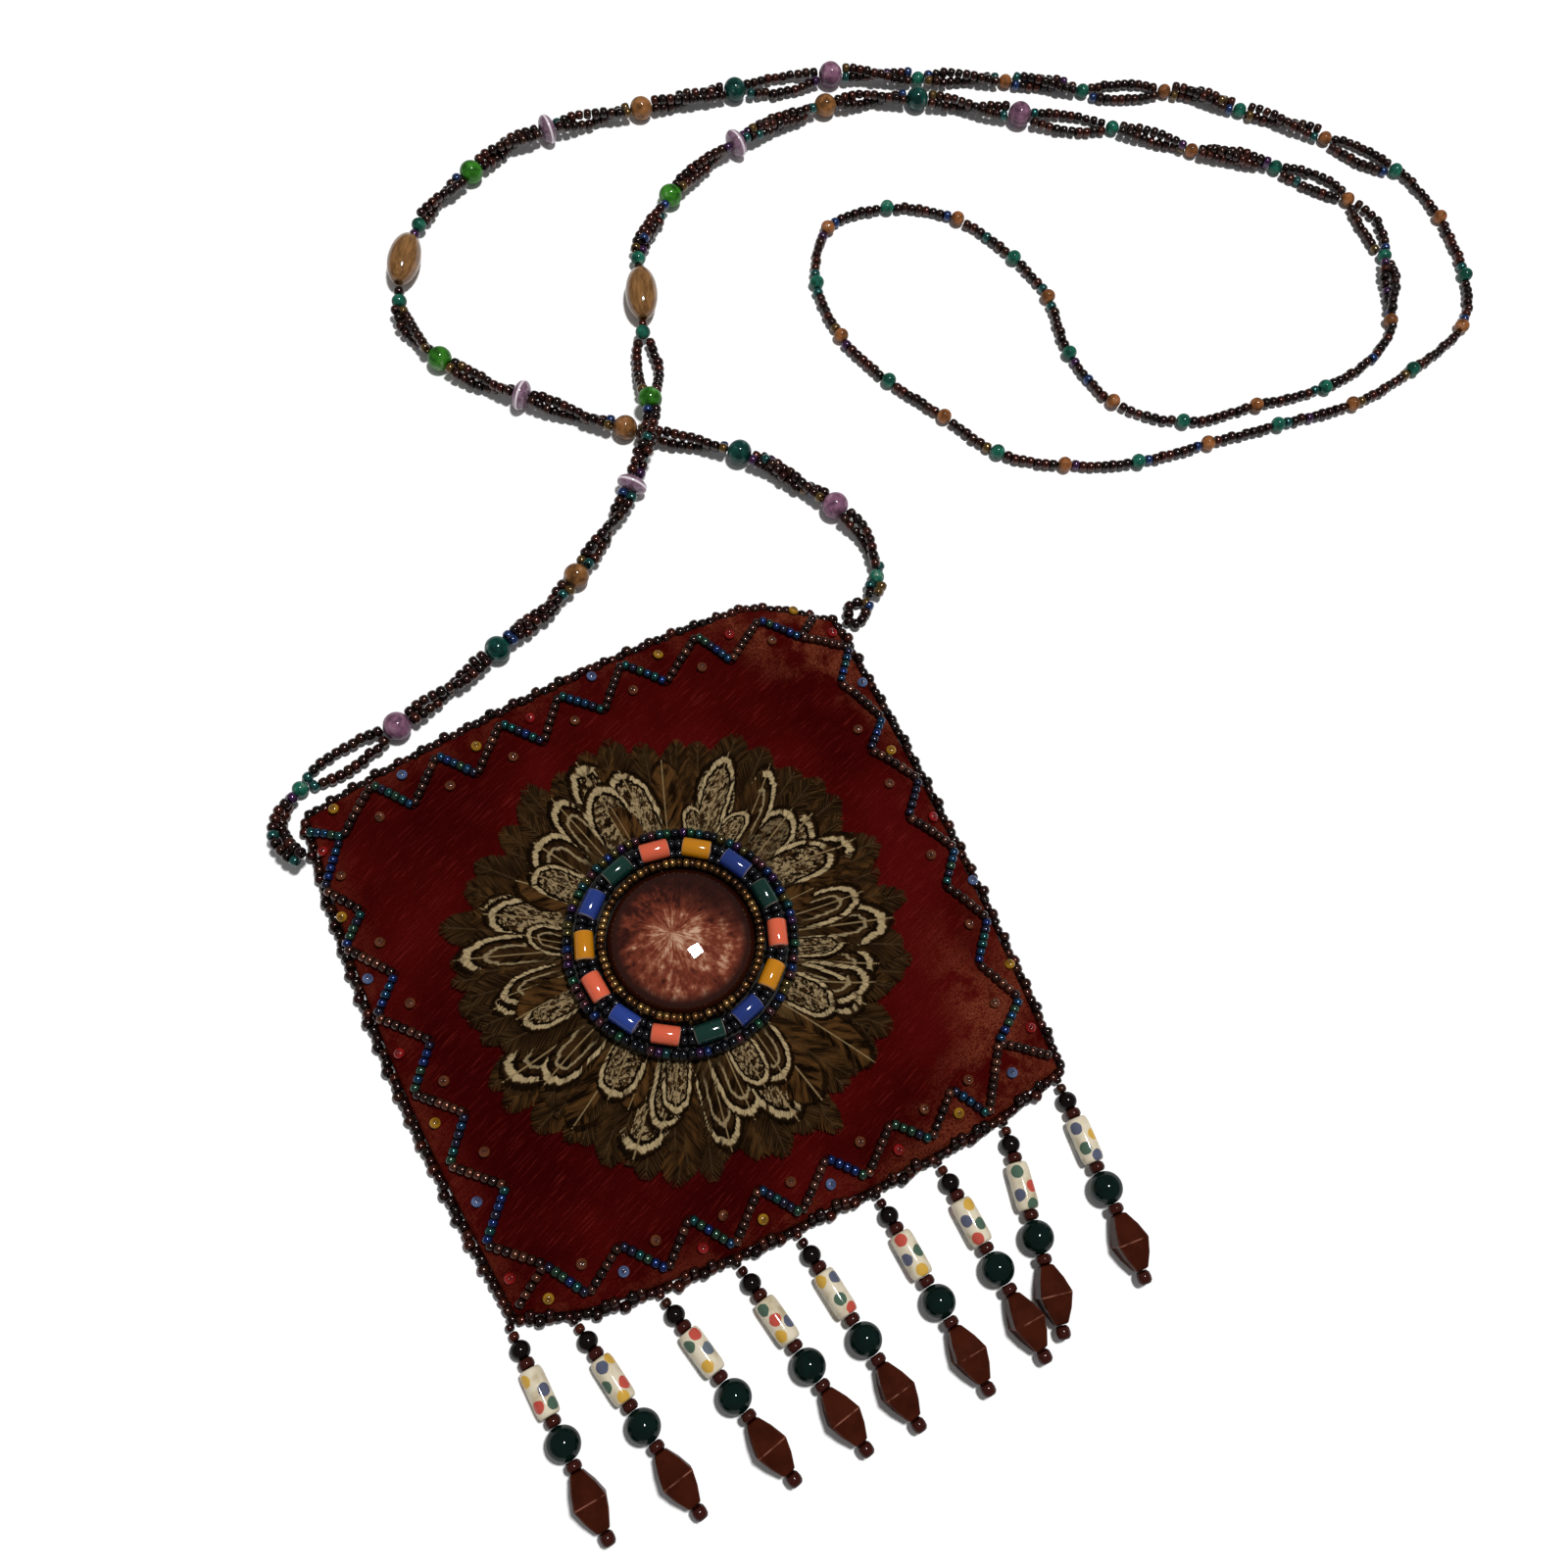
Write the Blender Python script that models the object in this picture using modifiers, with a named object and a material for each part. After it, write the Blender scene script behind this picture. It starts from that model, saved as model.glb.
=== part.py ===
"""A beaded crossbody bag, lying on its back with its mouth towards +Y.

A velvet pouch carries a feather rosette round a glass cabochon, rows of seed
beads, a fringe of nine bead strings that swing, and a long beaded strap.
Every length below is in millimetres and is scaled to metres as it is built.
"""

import math

import bmesh
import bpy
from mathutils import Vector

MM = 0.001
GAP = 0.3

# Pouch
MOUTH_WIDTH = 135.0
MOUTH_SHIFT = -1.7
FOOT_WIDTH = 131.4
FOOT_SHIFT = 1.0
SIDE_HEIGHT = 122.0
MOUTH_RISE = 9.0
FOOT_DROP = 7.4
LEFT_BULGE = 3.6
RIGHT_BULGE = 2.0
OUTLINE_STEPS = 13
PANEL_THICKNESS = 1.5
POCKET_DEPTH = 5.2
MOUTH_SHAPE = [(0, 0), (0.12, 0.2), (0.24, 0.4), (0.45, 0.73), (0.6, 0.92), (0.75, 1.0), (0.87, 0.94), (1, 0)]
FOOT_SHAPE = [(0, 0), (0.11, 0.66), (0.22, 0.9), (0.38, 1.0), (0.6, 0.92), (0.75, 0.76), (0.88, 0.5), (1, 0)]

# Seed beading on the pouch
EDGE_SEED = 1.4
ZIGZAG_SEED = 1.15
ZIGZAG_ACROSS = 7
ZIGZAG_UP = 6
# How far the outer and the inner apexes of each side lie in from the middle of the edge row
ZIGZAG_MOUTH = (4.2, 12.9)
ZIGZAG_RIGHT = (3.0, 9.0)
ZIGZAG_FOOT = (3.6, 11.8)
ZIGZAG_LEFT = (2.8, 10.5)
# How far the apex at each corner lies in from the panels' corner, across and up
ZIGZAG_MOUTH_LEFT = (5.9, 8.5)
ZIGZAG_MOUTH_RIGHT = (10.0, 2.6)
ZIGZAG_FOOT_RIGHT = (10.7, 10.2)
ZIGZAG_FOOT_LEFT = (9.6, 7.3)

# Rosette and medallion
ROSETTE_CENTRE = (-2.0, -2.4)
OUTER_FEATHER_REACH = 53.0
INNER_FEATHER_REACH = 45.0
OUTER_FEATHERS = 22
INNER_FEATHERS = 20
FEATHER_ROOT = 6.0
FEATHER_THICKNESS = 0.8
FEATHER_TIP_LIFT = 1.2
OUTER_ROW_SEED = 1.35
OUTER_ROW_RADIUS = 25.5
BACKING_RADIUS = OUTER_ROW_RADIUS + 3 * GAP
BACKING_THICKNESS = 0.8
TUBE_COUNT = 14
TUBE_RADIUS = 2.3
TUBE_LENGTH = 6.6
TUBE_ROW_SPACER = 1.3
INNER_ROW_SEED = 1.05
# What the outer row, the tubes and the gold rows leave open
CABOCHON_RADIUS = OUTER_ROW_RADIUS - OUTER_ROW_SEED - 2 * TUBE_RADIUS - 2 * INNER_ROW_SEED - 3 * GAP
CABOCHON_HEIGHT = 6.6
CABOCHON_GIRDLE = 1.5

# Fringe, measured outwards from the centre of the edge row, with each place as a share of half the foot
FRINGE_PLACES = [-1.025, -0.825, -0.548, -0.282, -0.061, 0.234, 0.472, 0.737, 0.974]
FRINGE_LEANS = [4.5, 12.0, 14.0, 12.0, 9.0, 5.5, 3.5, -11.0, -3.5]
TOP_SEED_RADIUS = 1.2
TOP_SEED_LENGTH = 1.5
BLACK_BEAD_RADIUS = 2.2
SPACER_RADIUS = 1.75
SPACER_LENGTH = 1.7
PAINTED_TUBE_RADIUS = 2.55
PAINTED_TUBE_LENGTH = 10.4
ROUND_BEAD_RADIUS = 3.7
BICONE_HALF_WIDTH = 3.6
BICONE_END_HALF_WIDTH = 1.3
BICONE_LENGTH = 12.6
END_BEAD_RADIUS = 1.35
THREAD_RADIUS = 0.4
BORE_RADIUS = 0.75
FLOOR_CLEARANCE = 0.2

# Strap, a route through the middles of its beads as it lies
NECK_CORD_RADIUS = 1.5
DOUBLE_CORD_RADIUS = 2.0
ROUND, DARK, AMBER, GREEN = 3.6, 3.4, 3.3, 3.3
DISC = (4.0, 2.2)
OVAL = (4.4, 8.2)

# Each stop is x, y, height of the middle, and the radius or (radius, half length) of a large bead there
LEFT_STRAP = [
    (-73.2, 50.8, 5.7, None), (-76.0, 56.5, 4.2, None), (-75.7, 62.0, 2.3, None), (-72.0, 66.2, 2.1, None),
    (-67.0, 69.2, 2.1, None), (-55.5, 72.0, 2.2, None), (-42.5, 74.5, 3.7, ROUND), (-28.0, 79.0, 2.4, None), (-13.5, 84.5, 3.5, DARK),
    (-0.5, 89.5, 2.4, None), (11.5, 96.0, 3.4, AMBER), (23.5, 105.0, 2.6, None), (34.0, 114.5, 4.1, DISC),
    (44.4, 127.5, 7.4, None), (47.4, 135.0, 6.4, GREEN), (51.5, 145.5, 3.0, None), (54.0, 155.5, 3.4, None),
    (58.5, 167.5, 4.5, OVAL), (62.5, 179.5, 3.2, None), (69.5, 188.0, 2.2, None), (79.0, 195.5, 3.4, GREEN),
    (91.0, 201.5, 2.6, None), (103.0, 205.0, 4.1, DISC), (117.5, 208.5, 2.4, None), (132.0, 209.0, 3.4, AMBER),
    (145.0, 207.0, 2.3, None), (158.0, 202.0, 3.5, DARK), (170.5, 195.0, 2.4, None), (183.5, 186.5, 3.7, ROUND),
    (195.5, 180.5, 2.3, None), (208.5, 173.5, 2.1, None), (226.0, 158.5, 2.1, None), (246.5, 144.5, 2.1, None),
    (261.0, 126.5, 2.1, None), (260.5, 106.0, 2.1, None), (250.5, 86.5, 2.1, None),
]
NECK_STRAP = [
    (250.28, 86.07, 2.1, None), (248.3, 83.2, 1.8, None), (238.0, 77.5, 1.6, None), (221.5, 74.5, 1.6, None),
    (200.5, 76.5, 1.6, None),
    (179.0, 79.5, 1.6, None), (164.0, 92.0, 1.6, None), (160.0, 110.0, 1.6, None), (163.0, 128.5, 1.6, None),
    (160.0, 143.5, 1.6, None), (151.0, 161.0, 1.6, None), (134.0, 171.5, 1.6, None), (115.5, 171.0, 1.6, None),
    (105.0, 155.5, 1.6, None), (104.0, 137.5, 1.6, None), (110.0, 120.0, 1.6, None), (119.0, 104.5, 1.6, None),
    (127.5, 89.5, 1.6, None), (142.5, 79.5, 1.6, None), (161.5, 73.0, 1.6, None), (182.0, 71.0, 1.6, None),
    (203.0, 69.0, 1.6, None), (226.0, 67.0, 1.6, None), (248.0, 70.5, 1.6, None), (269.0, 77.5, 1.6, None),
    (279.5, 92.0, 1.6, None), (283.5, 112.0, 1.6, None),
    (281.9, 127.8, 1.9, None), (280.34, 130.57, 2.1, None),
]
RIGHT_STRAP = [
    (280.0, 131.0, 2.1, None), (266.0, 148.5, 2.1, None), (247.0, 166.5, 2.1, None), (229.0, 180.5, 2.1, None),
    (206.0, 189.0, 2.1, None), (186.0, 200.0, 2.1, None), (162.0, 209.5, 2.3, None), (138.0, 218.5, 3.7, ROUND),
    (124.0, 221.5, 2.4, None), (110.0, 223.0, 3.5, DARK), (96.0, 224.5, 2.4, None), (82.5, 226.0, 3.4, AMBER),
    (68.0, 227.5, 2.6, None), (55.0, 227.5, 4.1, DISC), (42.0, 226.0, 2.6, None), (30.5, 221.5, 3.4, GREEN),
    (20.0, 216.5, 2.4, None), (10.5, 209.0, 3.4, None), (3.0, 198.5, 4.5, OVAL), (-2.0, 187.5, 3.2, None),
    (-2.0, 178.0, 2.3, None), (2.0, 168.0, 3.4, GREEN), (9.5, 157.5, 2.6, None), (18.0, 149.0, 4.1, DISC),
    (28.5, 139.5, 2.6, None), (38.5, 131.5, 3.4, AMBER), (51.0, 122.5, 2.2, None), (63.5, 113.5, 3.5, DARK),
    (73.0, 102.0, 2.4, None), (80.0, 90.0, 3.7, ROUND), (83.5, 79.0, 2.4, None), (82.5, 70.0, 2.1, None),
    (78.5, 63.3, 2.1, None),
]
CORNER_LOOP = [(77.2, 62.4, 2.1), (73.2, 63.4, 1.9), (70.5, 61.8, 1.7), (70.6, 58.4, 1.7), (73.8, 59.0, 1.9)]
CORNER_LOOP_RADIUS = 1.35

# Heights that follow from the sizes above
SEAM_HEIGHT = PANEL_THICKNESS + GAP
EDGE_ROW_HEIGHT = (SEAM_HEIGHT + PANEL_THICKNESS) / 2
EDGE_ROW_OFFSET = EDGE_SEED + GAP
# The row climbs to the middle of the front panel's lip where the mouth stands open
LIP_ROW_RISE = SEAM_HEIGHT + POCKET_DEPTH + PANEL_THICKNESS / 2 - EDGE_ROW_HEIGHT
FRONT_CREST = SEAM_HEIGHT + POCKET_DEPTH + PANEL_THICKNESS
INNER_FEATHER_LIFT = 2 * GAP + FEATHER_THICKNESS
BACKING_BASE = FRONT_CREST + INNER_FEATHER_LIFT + FEATHER_THICKNESS + GAP
BEZEL_BASE = BACKING_BASE + BACKING_THICKNESS + GAP


def clear_scene():
    for obj in list(bpy.data.objects):
        bpy.data.objects.remove(obj, do_unlink=True)


def new_collection(name, hidden=False):
    collection = bpy.data.collections.new(name)
    bpy.context.scene.collection.children.link(collection)
    collection.hide_render = hidden
    return collection


def material(name, colour, roughness, metallic=0.0, coat=0.0):
    made = bpy.data.materials.new(name)
    made.use_nodes = True
    shader = made.node_tree.nodes["Principled BSDF"]
    shader.inputs["Base Color"].default_value = (*colour, 1.0)
    shader.inputs["Roughness"].default_value = roughness
    shader.inputs["Metallic"].default_value = metallic
    shader.inputs["Coat Weight"].default_value = coat
    return made


def add_object(name, data, collection, parent=None, location=(0, 0, 0)):
    obj = bpy.data.objects.new(name, data)
    collection.objects.link(obj)
    obj.parent = parent
    obj.location = Vector(location) * MM
    return obj


def add_mesh(name, bm, collection, finish, smooth=True, **placing):
    """Scales a bmesh from millimetres and makes it an object."""
    bmesh.ops.recalc_face_normals(bm, faces=bm.faces)
    bmesh.ops.scale(bm, vec=(MM, MM, MM), verts=bm.verts)
    mesh = bpy.data.meshes.new(name)
    bm.to_mesh(mesh)
    bm.free()
    mesh.materials.append(finish)
    for polygon in mesh.polygons:
        polygon.use_smooth = smooth
    return add_object(name, mesh, collection, **placing)


def add_tube(name, points, radius, collection, finish, radii=None, sides=2, cyclic=False, **placing):
    """A round tube along points; radii, where given, is the tube's own radius at each of them."""
    curve = bpy.data.curves.new(name, "CURVE")
    curve.dimensions = "3D"
    curve.bevel_depth = radius * MM
    curve.bevel_resolution = sides
    curve.use_fill_caps = not cyclic
    spline = curve.splines.new("POLY")
    spline.points.add(len(points) - 1)
    for index, point in enumerate(points):
        spline.points[index].co = (*(Vector(point) * MM), 1.0)
        spline.points[index].radius = radii[index] / radius if radii else 1.0
    spline.use_cyclic_u = cyclic
    spline.use_smooth = True
    curve.materials.append(finish)
    return add_object(name, curve, collection, **placing)


def add_turned(name, profile, steps, collection, finish, closed=False, smooth=True, **placing):
    """Turns a profile of (radius, height) points about the object's own Z axis.

    The profile runs upwards on its outer side, so that the faces point outwards.
    """
    bm = bmesh.new()
    verts = [bm.verts.new((radius, 0, height)) for radius, height in profile]
    for first, second in zip(verts, verts[1:] + verts[:1] if closed else verts[1:]):
        bm.edges.new((first, second))
    bmesh.ops.scale(bm, vec=(MM, MM, MM), verts=bm.verts)
    mesh = bpy.data.meshes.new(name)
    bm.to_mesh(mesh)
    bm.free()
    mesh.materials.append(finish)
    obj = add_object(name, mesh, collection, **placing)
    screw = obj.modifiers.new("Turn", "SCREW")
    screw.steps = screw.render_steps = steps
    screw.use_merge_vertices = True
    screw.merge_threshold = 0.00001
    screw.use_normal_flip = True
    screw.use_smooth_shade = smooth
    return obj


def through(stops, share):
    """A smooth curve through (share, value) stops, read at one share."""
    last = len(stops) - 1
    index = next((i for i in range(last - 1) if share < stops[i + 1][0]), last - 1)
    slopes = []
    for at in (index, index + 1):
        before, after = stops[max(at - 1, 0)], stops[min(at + 1, last)]
        slopes.append((after[1] - before[1]) / (after[0] - before[0]))
    (start, low), (end, high) = stops[index], stops[index + 1]
    width = end - start
    t = min(max((share - start) / width, 0.0), 1.0)
    bend = t * t * (3 - 2 * t)
    return (
        low * (1 - bend)
        + high * bend
        + width * (slopes[0] * t * (1 - t) ** 2 - slopes[1] * t * t * (1 - t))
    )


def smooth_route(stops, spacing):
    """Points about a spacing apart on a smooth curve through every stop."""
    points = []
    for index in range(len(stops) - 1):
        around = [Vector(stops[min(max(index + k, 0), len(stops) - 1)][:3]) for k in (-1, 0, 1, 2)]
        count = max(1, round((around[2] - around[1]).length / spacing))
        leaving = (around[2] - around[0]) / 2
        arriving = (around[3] - around[1]) / 2
        for step in range(count):
            t = step / count
            points.append(
                around[1] * (1 + t * t * (2 * t - 3))
                + around[2] * t * t * (3 - 2 * t)
                + leaving * t * (1 - t) ** 2
                - arriving * t * t * (1 - t)
            )
    points.append(Vector(stops[-1][:3]))
    return points


def mouth_edge(across):
    return SIDE_HEIGHT / 2 + MOUTH_RISE * through(MOUTH_SHAPE, across)


def foot_edge(across):
    return -SIDE_HEIGHT / 2 - FOOT_DROP * through(FOOT_SHAPE, across)


def side_edge(up, side):
    """The x of the left (-1) or right (+1) edge, at a share of the way up it."""
    bulge = LEFT_BULGE if side < 0 else RIGHT_BULGE
    half = (FOOT_WIDTH + (MOUTH_WIDTH - FOOT_WIDTH) * up) / 2
    middle = FOOT_SHIFT + (MOUTH_SHIFT - FOOT_SHIFT) * up
    return middle + side * (half + bulge * math.sin(math.pi * up))


def pouch_point(across, up):
    """The place on the panels' plan at shares from the left edge and from the foot."""
    left, right = side_edge(up, -1), side_edge(up, 1)
    foot, mouth = foot_edge(across), mouth_edge(across)
    return left + (right - left) * across, foot + (mouth - foot) * up


def pouch_shares(x, y):
    """The inverse of pouch_point."""
    across, up = 0.5, 0.5
    for _ in range(8):
        left, right = side_edge(up, -1), side_edge(up, 1)
        across = min(max((x - left) / (right - left), 0.0), 1.0)
        foot, mouth = foot_edge(across), mouth_edge(across)
        up = min(max((y - foot) / (mouth - foot), 0.0), 1.0)
    return across, up


def pocket_height(across, up):
    """How far the front panel stands off the back one, besides the seam's gap."""
    return POCKET_DEPTH * (1 - abs(2 * across - 1) ** 4) * (1 - (1 - up) ** 8)


def front_height(x, y):
    return SEAM_HEIGHT + PANEL_THICKNESS + pocket_height(*pouch_shares(x, y))


def outline():
    """(across, up) shares of the panels' outline, closer together near its corners."""
    steps = [(1 - math.cos(math.pi * index / OUTLINE_STEPS)) / 2 for index in range(OUTLINE_STEPS)]
    return (
        [(0.0, 1 - step) for step in steps]
        + [(step, 0.0) for step in steps]
        + [(1.0, step) for step in steps]
        + [(1 - step, 1.0) for step in steps]
    )


def back_panel(collection):
    bm = bmesh.new()
    face = bm.faces.new([bm.verts.new((*pouch_point(*shares), 0)) for shares in outline()])
    made = bmesh.ops.extrude_face_region(bm, geom=[face])
    top = [item for item in made["geom"] if isinstance(item, bmesh.types.BMVert)]
    bmesh.ops.translate(bm, verts=top, vec=(0, 0, PANEL_THICKNESS))
    add_mesh("back_panel", bm, collection, material("back_velvet", (0.1, 0.012, 0.012), 0.9), smooth=False)


def front_panel(collection):
    """The arched velvet front, sewn to the back at three edges and open at the mouth."""
    columns, rows = 18, 14
    bm = bmesh.new()
    grid = []
    for row in range(rows + 1):
        up = (row / rows) ** 1.7
        line = []
        for column in range(columns + 1):
            across = (1 + math.sin(math.pi * (column / columns - 0.5))) / 2
            height = SEAM_HEIGHT + pocket_height(across, up)
            line.append(bm.verts.new((*pouch_point(across, up), height)))
        grid.append(line)
    for low, high in zip(grid, grid[1:]):
        for column in range(columns):
            bm.faces.new((low[column], low[column + 1], high[column + 1], high[column]))
    made = bmesh.ops.extrude_face_region(bm, geom=list(bm.faces))
    top = [item for item in made["geom"] if isinstance(item, bmesh.types.BMVert)]
    bmesh.ops.translate(bm, verts=top, vec=(0, 0, PANEL_THICKNESS))
    add_mesh("front_panel", bm, collection, material("front_velvet", (0.14, 0.008, 0.01), 0.85))


def outside(shares, offset):
    """The plan point that lies an offset outside the outline, level with the given shares."""
    across, up = shares
    x, y = pouch_point(across, up)
    step = 0.01
    if across in (0.0, 1.0) and 0 < up < 1:
        ahead, behind = pouch_point(across, up + step), pouch_point(across, up - step)
        turn = 1 if across == 0.0 else -1
    else:
        ahead, behind = pouch_point(min(across + step, 1), up), pouch_point(max(across - step, 0), up)
        turn = 1 if up == 1.0 else -1
    dx, dy = ahead[0] - behind[0], ahead[1] - behind[1]
    length = math.hypot(dx, dy)
    return x - turn * dy / length * offset, y + turn * dx / length * offset


def edge_row_point(shares):
    """The middle of the row of seeds along the pouch's edge, level with the given shares."""
    rise, offset = 0.0, EDGE_ROW_OFFSET
    if shares[1] == 1.0:
        rise = pocket_height(*shares) * LIP_ROW_RISE / POCKET_DEPTH
        offset += GAP
    return Vector((*outside(shares, offset), EDGE_ROW_HEIGHT + rise))


def edge_beading(collection):
    finish = material("dark_seed_glass", (0.03, 0.012, 0.008), 0.15, coat=1.0)
    points = []
    for across, up in outline():
        if across in (0.0, 1.0) and up in (0.0, 1.0):
            points.append(edge_row_corner(across, up))
        else:
            points.append(edge_row_point((across, up)))
    add_tube("edge_beading", points, EDGE_SEED, collection, finish, sides=1, cyclic=True)


def edge_row_corner(across, up):
    """The middle of the edge row at one of the outline's corners, clear of both edges."""
    near = 0.01
    place = Vector(pouch_point(across, up))
    for shares in ((abs(across - near), up), (across, abs(up - near))):
        place += (Vector(outside(shares, EDGE_ROW_OFFSET)) - Vector(pouch_point(*shares))) * 0.8
    return Vector((*place, EDGE_ROW_HEIGHT))


def zigzag_side(first, last, count, insets, edge_place):
    """The apexes from one corner's apex up to the next corner, without that next one."""
    points = [first]
    for index in range(1, 2 * count):
        share = index / (2 * count)
        x = first[0] + (last[0] - first[0]) * share
        y = first[1] + (last[1] - first[1]) * share
        points.append(edge_place(x, y, insets[1 - index % 2] - EDGE_ROW_OFFSET))
    return points


def inside_mouth(x, y, inset):
    return x, mouth_edge(pouch_shares(x, y)[0]) - inset


def inside_foot(x, y, inset):
    return x, foot_edge(pouch_shares(x, y)[0]) + inset


def inside_left(x, y, inset):
    return side_edge(pouch_shares(x, y)[1], -1) + inset, y


def inside_right(x, y, inset):
    return side_edge(pouch_shares(x, y)[1], 1) - inset, y


def zigzag_corner(across, up, insets):
    x, y = pouch_point(across, up)
    return x + (insets[0] if across == 0 else -insets[0]), y + (insets[1] if up == 0 else -insets[1])


def zigzag_apexes():
    """The plan points of the zigzag's apexes, clockwise from the left end of the mouth."""
    mouth_left = zigzag_corner(0, 1, ZIGZAG_MOUTH_LEFT)
    mouth_right = zigzag_corner(1, 1, ZIGZAG_MOUTH_RIGHT)
    foot_right = zigzag_corner(1, 0, ZIGZAG_FOOT_RIGHT)
    foot_left = zigzag_corner(0, 0, ZIGZAG_FOOT_LEFT)
    return (
        zigzag_side(mouth_left, mouth_right, ZIGZAG_ACROSS, ZIGZAG_MOUTH, inside_mouth)
        + zigzag_side(mouth_right, foot_right, ZIGZAG_UP, ZIGZAG_RIGHT, inside_right)
        + zigzag_side(foot_right, foot_left, ZIGZAG_ACROSS, ZIGZAG_FOOT, inside_foot)
        + zigzag_side(foot_left, mouth_left, ZIGZAG_UP, ZIGZAG_LEFT, inside_left)
    )


def zigzag_beading(collection):
    finish = material("bronze_seed_glass", (0.08, 0.03, 0.02), 0.2, metallic=0.4, coat=1.0)
    lift = GAP + ZIGZAG_SEED
    points = [(x, y, front_height(x, y) + lift) for x, y in zigzag_apexes()]
    add_tube("zigzag_beading", points, ZIGZAG_SEED, collection, finish, sides=1, cyclic=True)


def feather_layer(name, collection, reach, count, lift, finish):
    """A ring of overlapping feathers as one scalloped sheet that follows the pouch's front."""
    tips = (0.86, 0.965, 1.0, 0.965)
    cambers = (0.0, 0.7, 1.0, 0.7)
    spokes = count * len(tips)
    bm = bmesh.new()
    layers = []
    for top in (False, True):
        rings = []
        for share in (0.0, 0.5, 1.0):
            ring = []
            for spoke in range(spokes):
                angle = 2 * math.pi * spoke / spokes
                radius = FEATHER_ROOT + (reach * tips[spoke % len(tips)] - FEATHER_ROOT) * share
                x = ROSETTE_CENTRE[0] + radius * math.cos(angle)
                y = ROSETTE_CENTRE[1] + radius * math.sin(angle)
                camber = 0.5 + 0.5 * cambers[spoke % len(tips)]
                height = front_height(x, y) + lift + FEATHER_TIP_LIFT * share**4
                height += FEATHER_THICKNESS * camber if top else 0
                ring.append(bm.verts.new((x, y, height)))
            rings.append(ring)
        layers.append(rings)
    bottom, upper = layers
    walls = [(bottom[0], bottom[1]), (bottom[1], bottom[2]), (upper[1], upper[0]), (upper[2], upper[1])]
    walls += [(bottom[2], upper[2]), (upper[0], bottom[0])]
    for first, second in walls:
        for spoke in range(spokes):
            following = (spoke + 1) % spokes
            bm.faces.new((first[spoke], first[following], second[following], second[spoke]))
    add_mesh(name, bm, collection, finish)


def rosette(collection):
    olive = material("outer_feathers", (0.06, 0.04, 0.02), 0.8)
    barred = material("inner_feathers", (0.28, 0.22, 0.13), 0.75)
    feather_layer("feathers_outer", collection, OUTER_FEATHER_REACH, OUTER_FEATHERS, GAP, olive)
    feather_layer(
        "feathers_inner", collection, INNER_FEATHER_REACH, INNER_FEATHERS, INNER_FEATHER_LIFT, barred
    )


def medallion_backing(collection):
    profile = [(0, 0), (BACKING_RADIUS, 0), (BACKING_RADIUS, BACKING_THICKNESS), (0, BACKING_THICKNESS)]
    finish = material("backing_felt", (0.02, 0.02, 0.02), 0.95)
    place = (*ROSETTE_CENTRE, BACKING_BASE)
    add_turned("medallion_backing", profile, 32, collection, finish, smooth=False, location=place)


def cabochon(collection):
    """The glass dome in the middle, with a short straight girdle."""
    rise = CABOCHON_HEIGHT - CABOCHON_GIRDLE
    profile = [(0, 0), (CABOCHON_RADIUS, 0), (CABOCHON_RADIUS, CABOCHON_GIRDLE)]
    for degrees in (22, 42, 60, 76):
        angle = math.radians(degrees)
        profile.append((CABOCHON_RADIUS * math.cos(angle), CABOCHON_GIRDLE + rise * math.sin(angle)))
    profile.append((0, CABOCHON_HEIGHT))
    finish = material("cabochon_glass", (0.2, 0.06, 0.04), 0.05, coat=1.0)
    add_turned("cabochon", profile, 36, collection, finish, location=(*ROSETTE_CENTRE, BEZEL_BASE))


def bezel_inner_rows(collection):
    """Two rows of gold seeds that stand on each other and hold the cabochon's girdle."""
    seed = INNER_ROW_SEED
    low_radius = CABOCHON_RADIUS + GAP + seed
    profile = []
    for degrees in (-150, -90, -30, 20):
        angle = math.radians(degrees)
        profile.append((low_radius + seed * math.cos(angle), seed + seed * math.sin(angle)))
    for degrees in (-20, 40, 100, 160, 200):
        angle = math.radians(degrees)
        profile.append((low_radius - 0.1 + seed * math.cos(angle), 2.85 * seed + seed * math.sin(angle)))
    finish = material("gold_seed_glass", (0.3, 0.2, 0.07), 0.3, metallic=0.7)
    place = (*ROSETTE_CENTRE, BEZEL_BASE)
    add_turned("bezel_gold_rows", profile, 40, collection, finish, closed=True, location=place)


def bezel_tube_row(collection):
    """Glazed tube beads strung end to end in a ring, with a small black seed between each pair."""
    radius = OUTER_ROW_RADIUS - OUTER_ROW_SEED - GAP - TUBE_RADIUS
    half = TUBE_LENGTH / 2 / radius
    neck = half + (math.pi / TUBE_COUNT - half) * 0.3
    stops = [
        (-neck, 0.4), (-half, 0.88), (-half * 0.8, 1.0), (half * 0.8, 1.0), (half, 0.88), (neck, 0.4),
    ]
    points, radii = [], []
    for bead in range(TUBE_COUNT):
        middle = 2 * math.pi * (bead + 0.5) / TUBE_COUNT
        for turn, share in stops:
            angle = middle + turn
            x = ROSETTE_CENTRE[0] + radius * math.cos(angle)
            y = ROSETTE_CENTRE[1] + radius * math.sin(angle)
            points.append((x, y, BEZEL_BASE + TUBE_RADIUS))
            radii.append(TUBE_RADIUS * share)
        angle = 2 * math.pi * (bead + 1) / TUBE_COUNT
        x = ROSETTE_CENTRE[0] + radius * math.cos(angle)
        y = ROSETTE_CENTRE[1] + radius * math.sin(angle)
        points.append((x, y, BEZEL_BASE + TUBE_RADIUS))
        radii.append(TUBE_ROW_SPACER)
    finish = material("glazed_tubes", (0.45, 0.2, 0.1), 0.2, coat=1.0)
    add_tube(
        "bezel_tube_row", points, TUBE_RADIUS, collection, finish, radii=radii, sides=1, cyclic=True
    )


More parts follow.
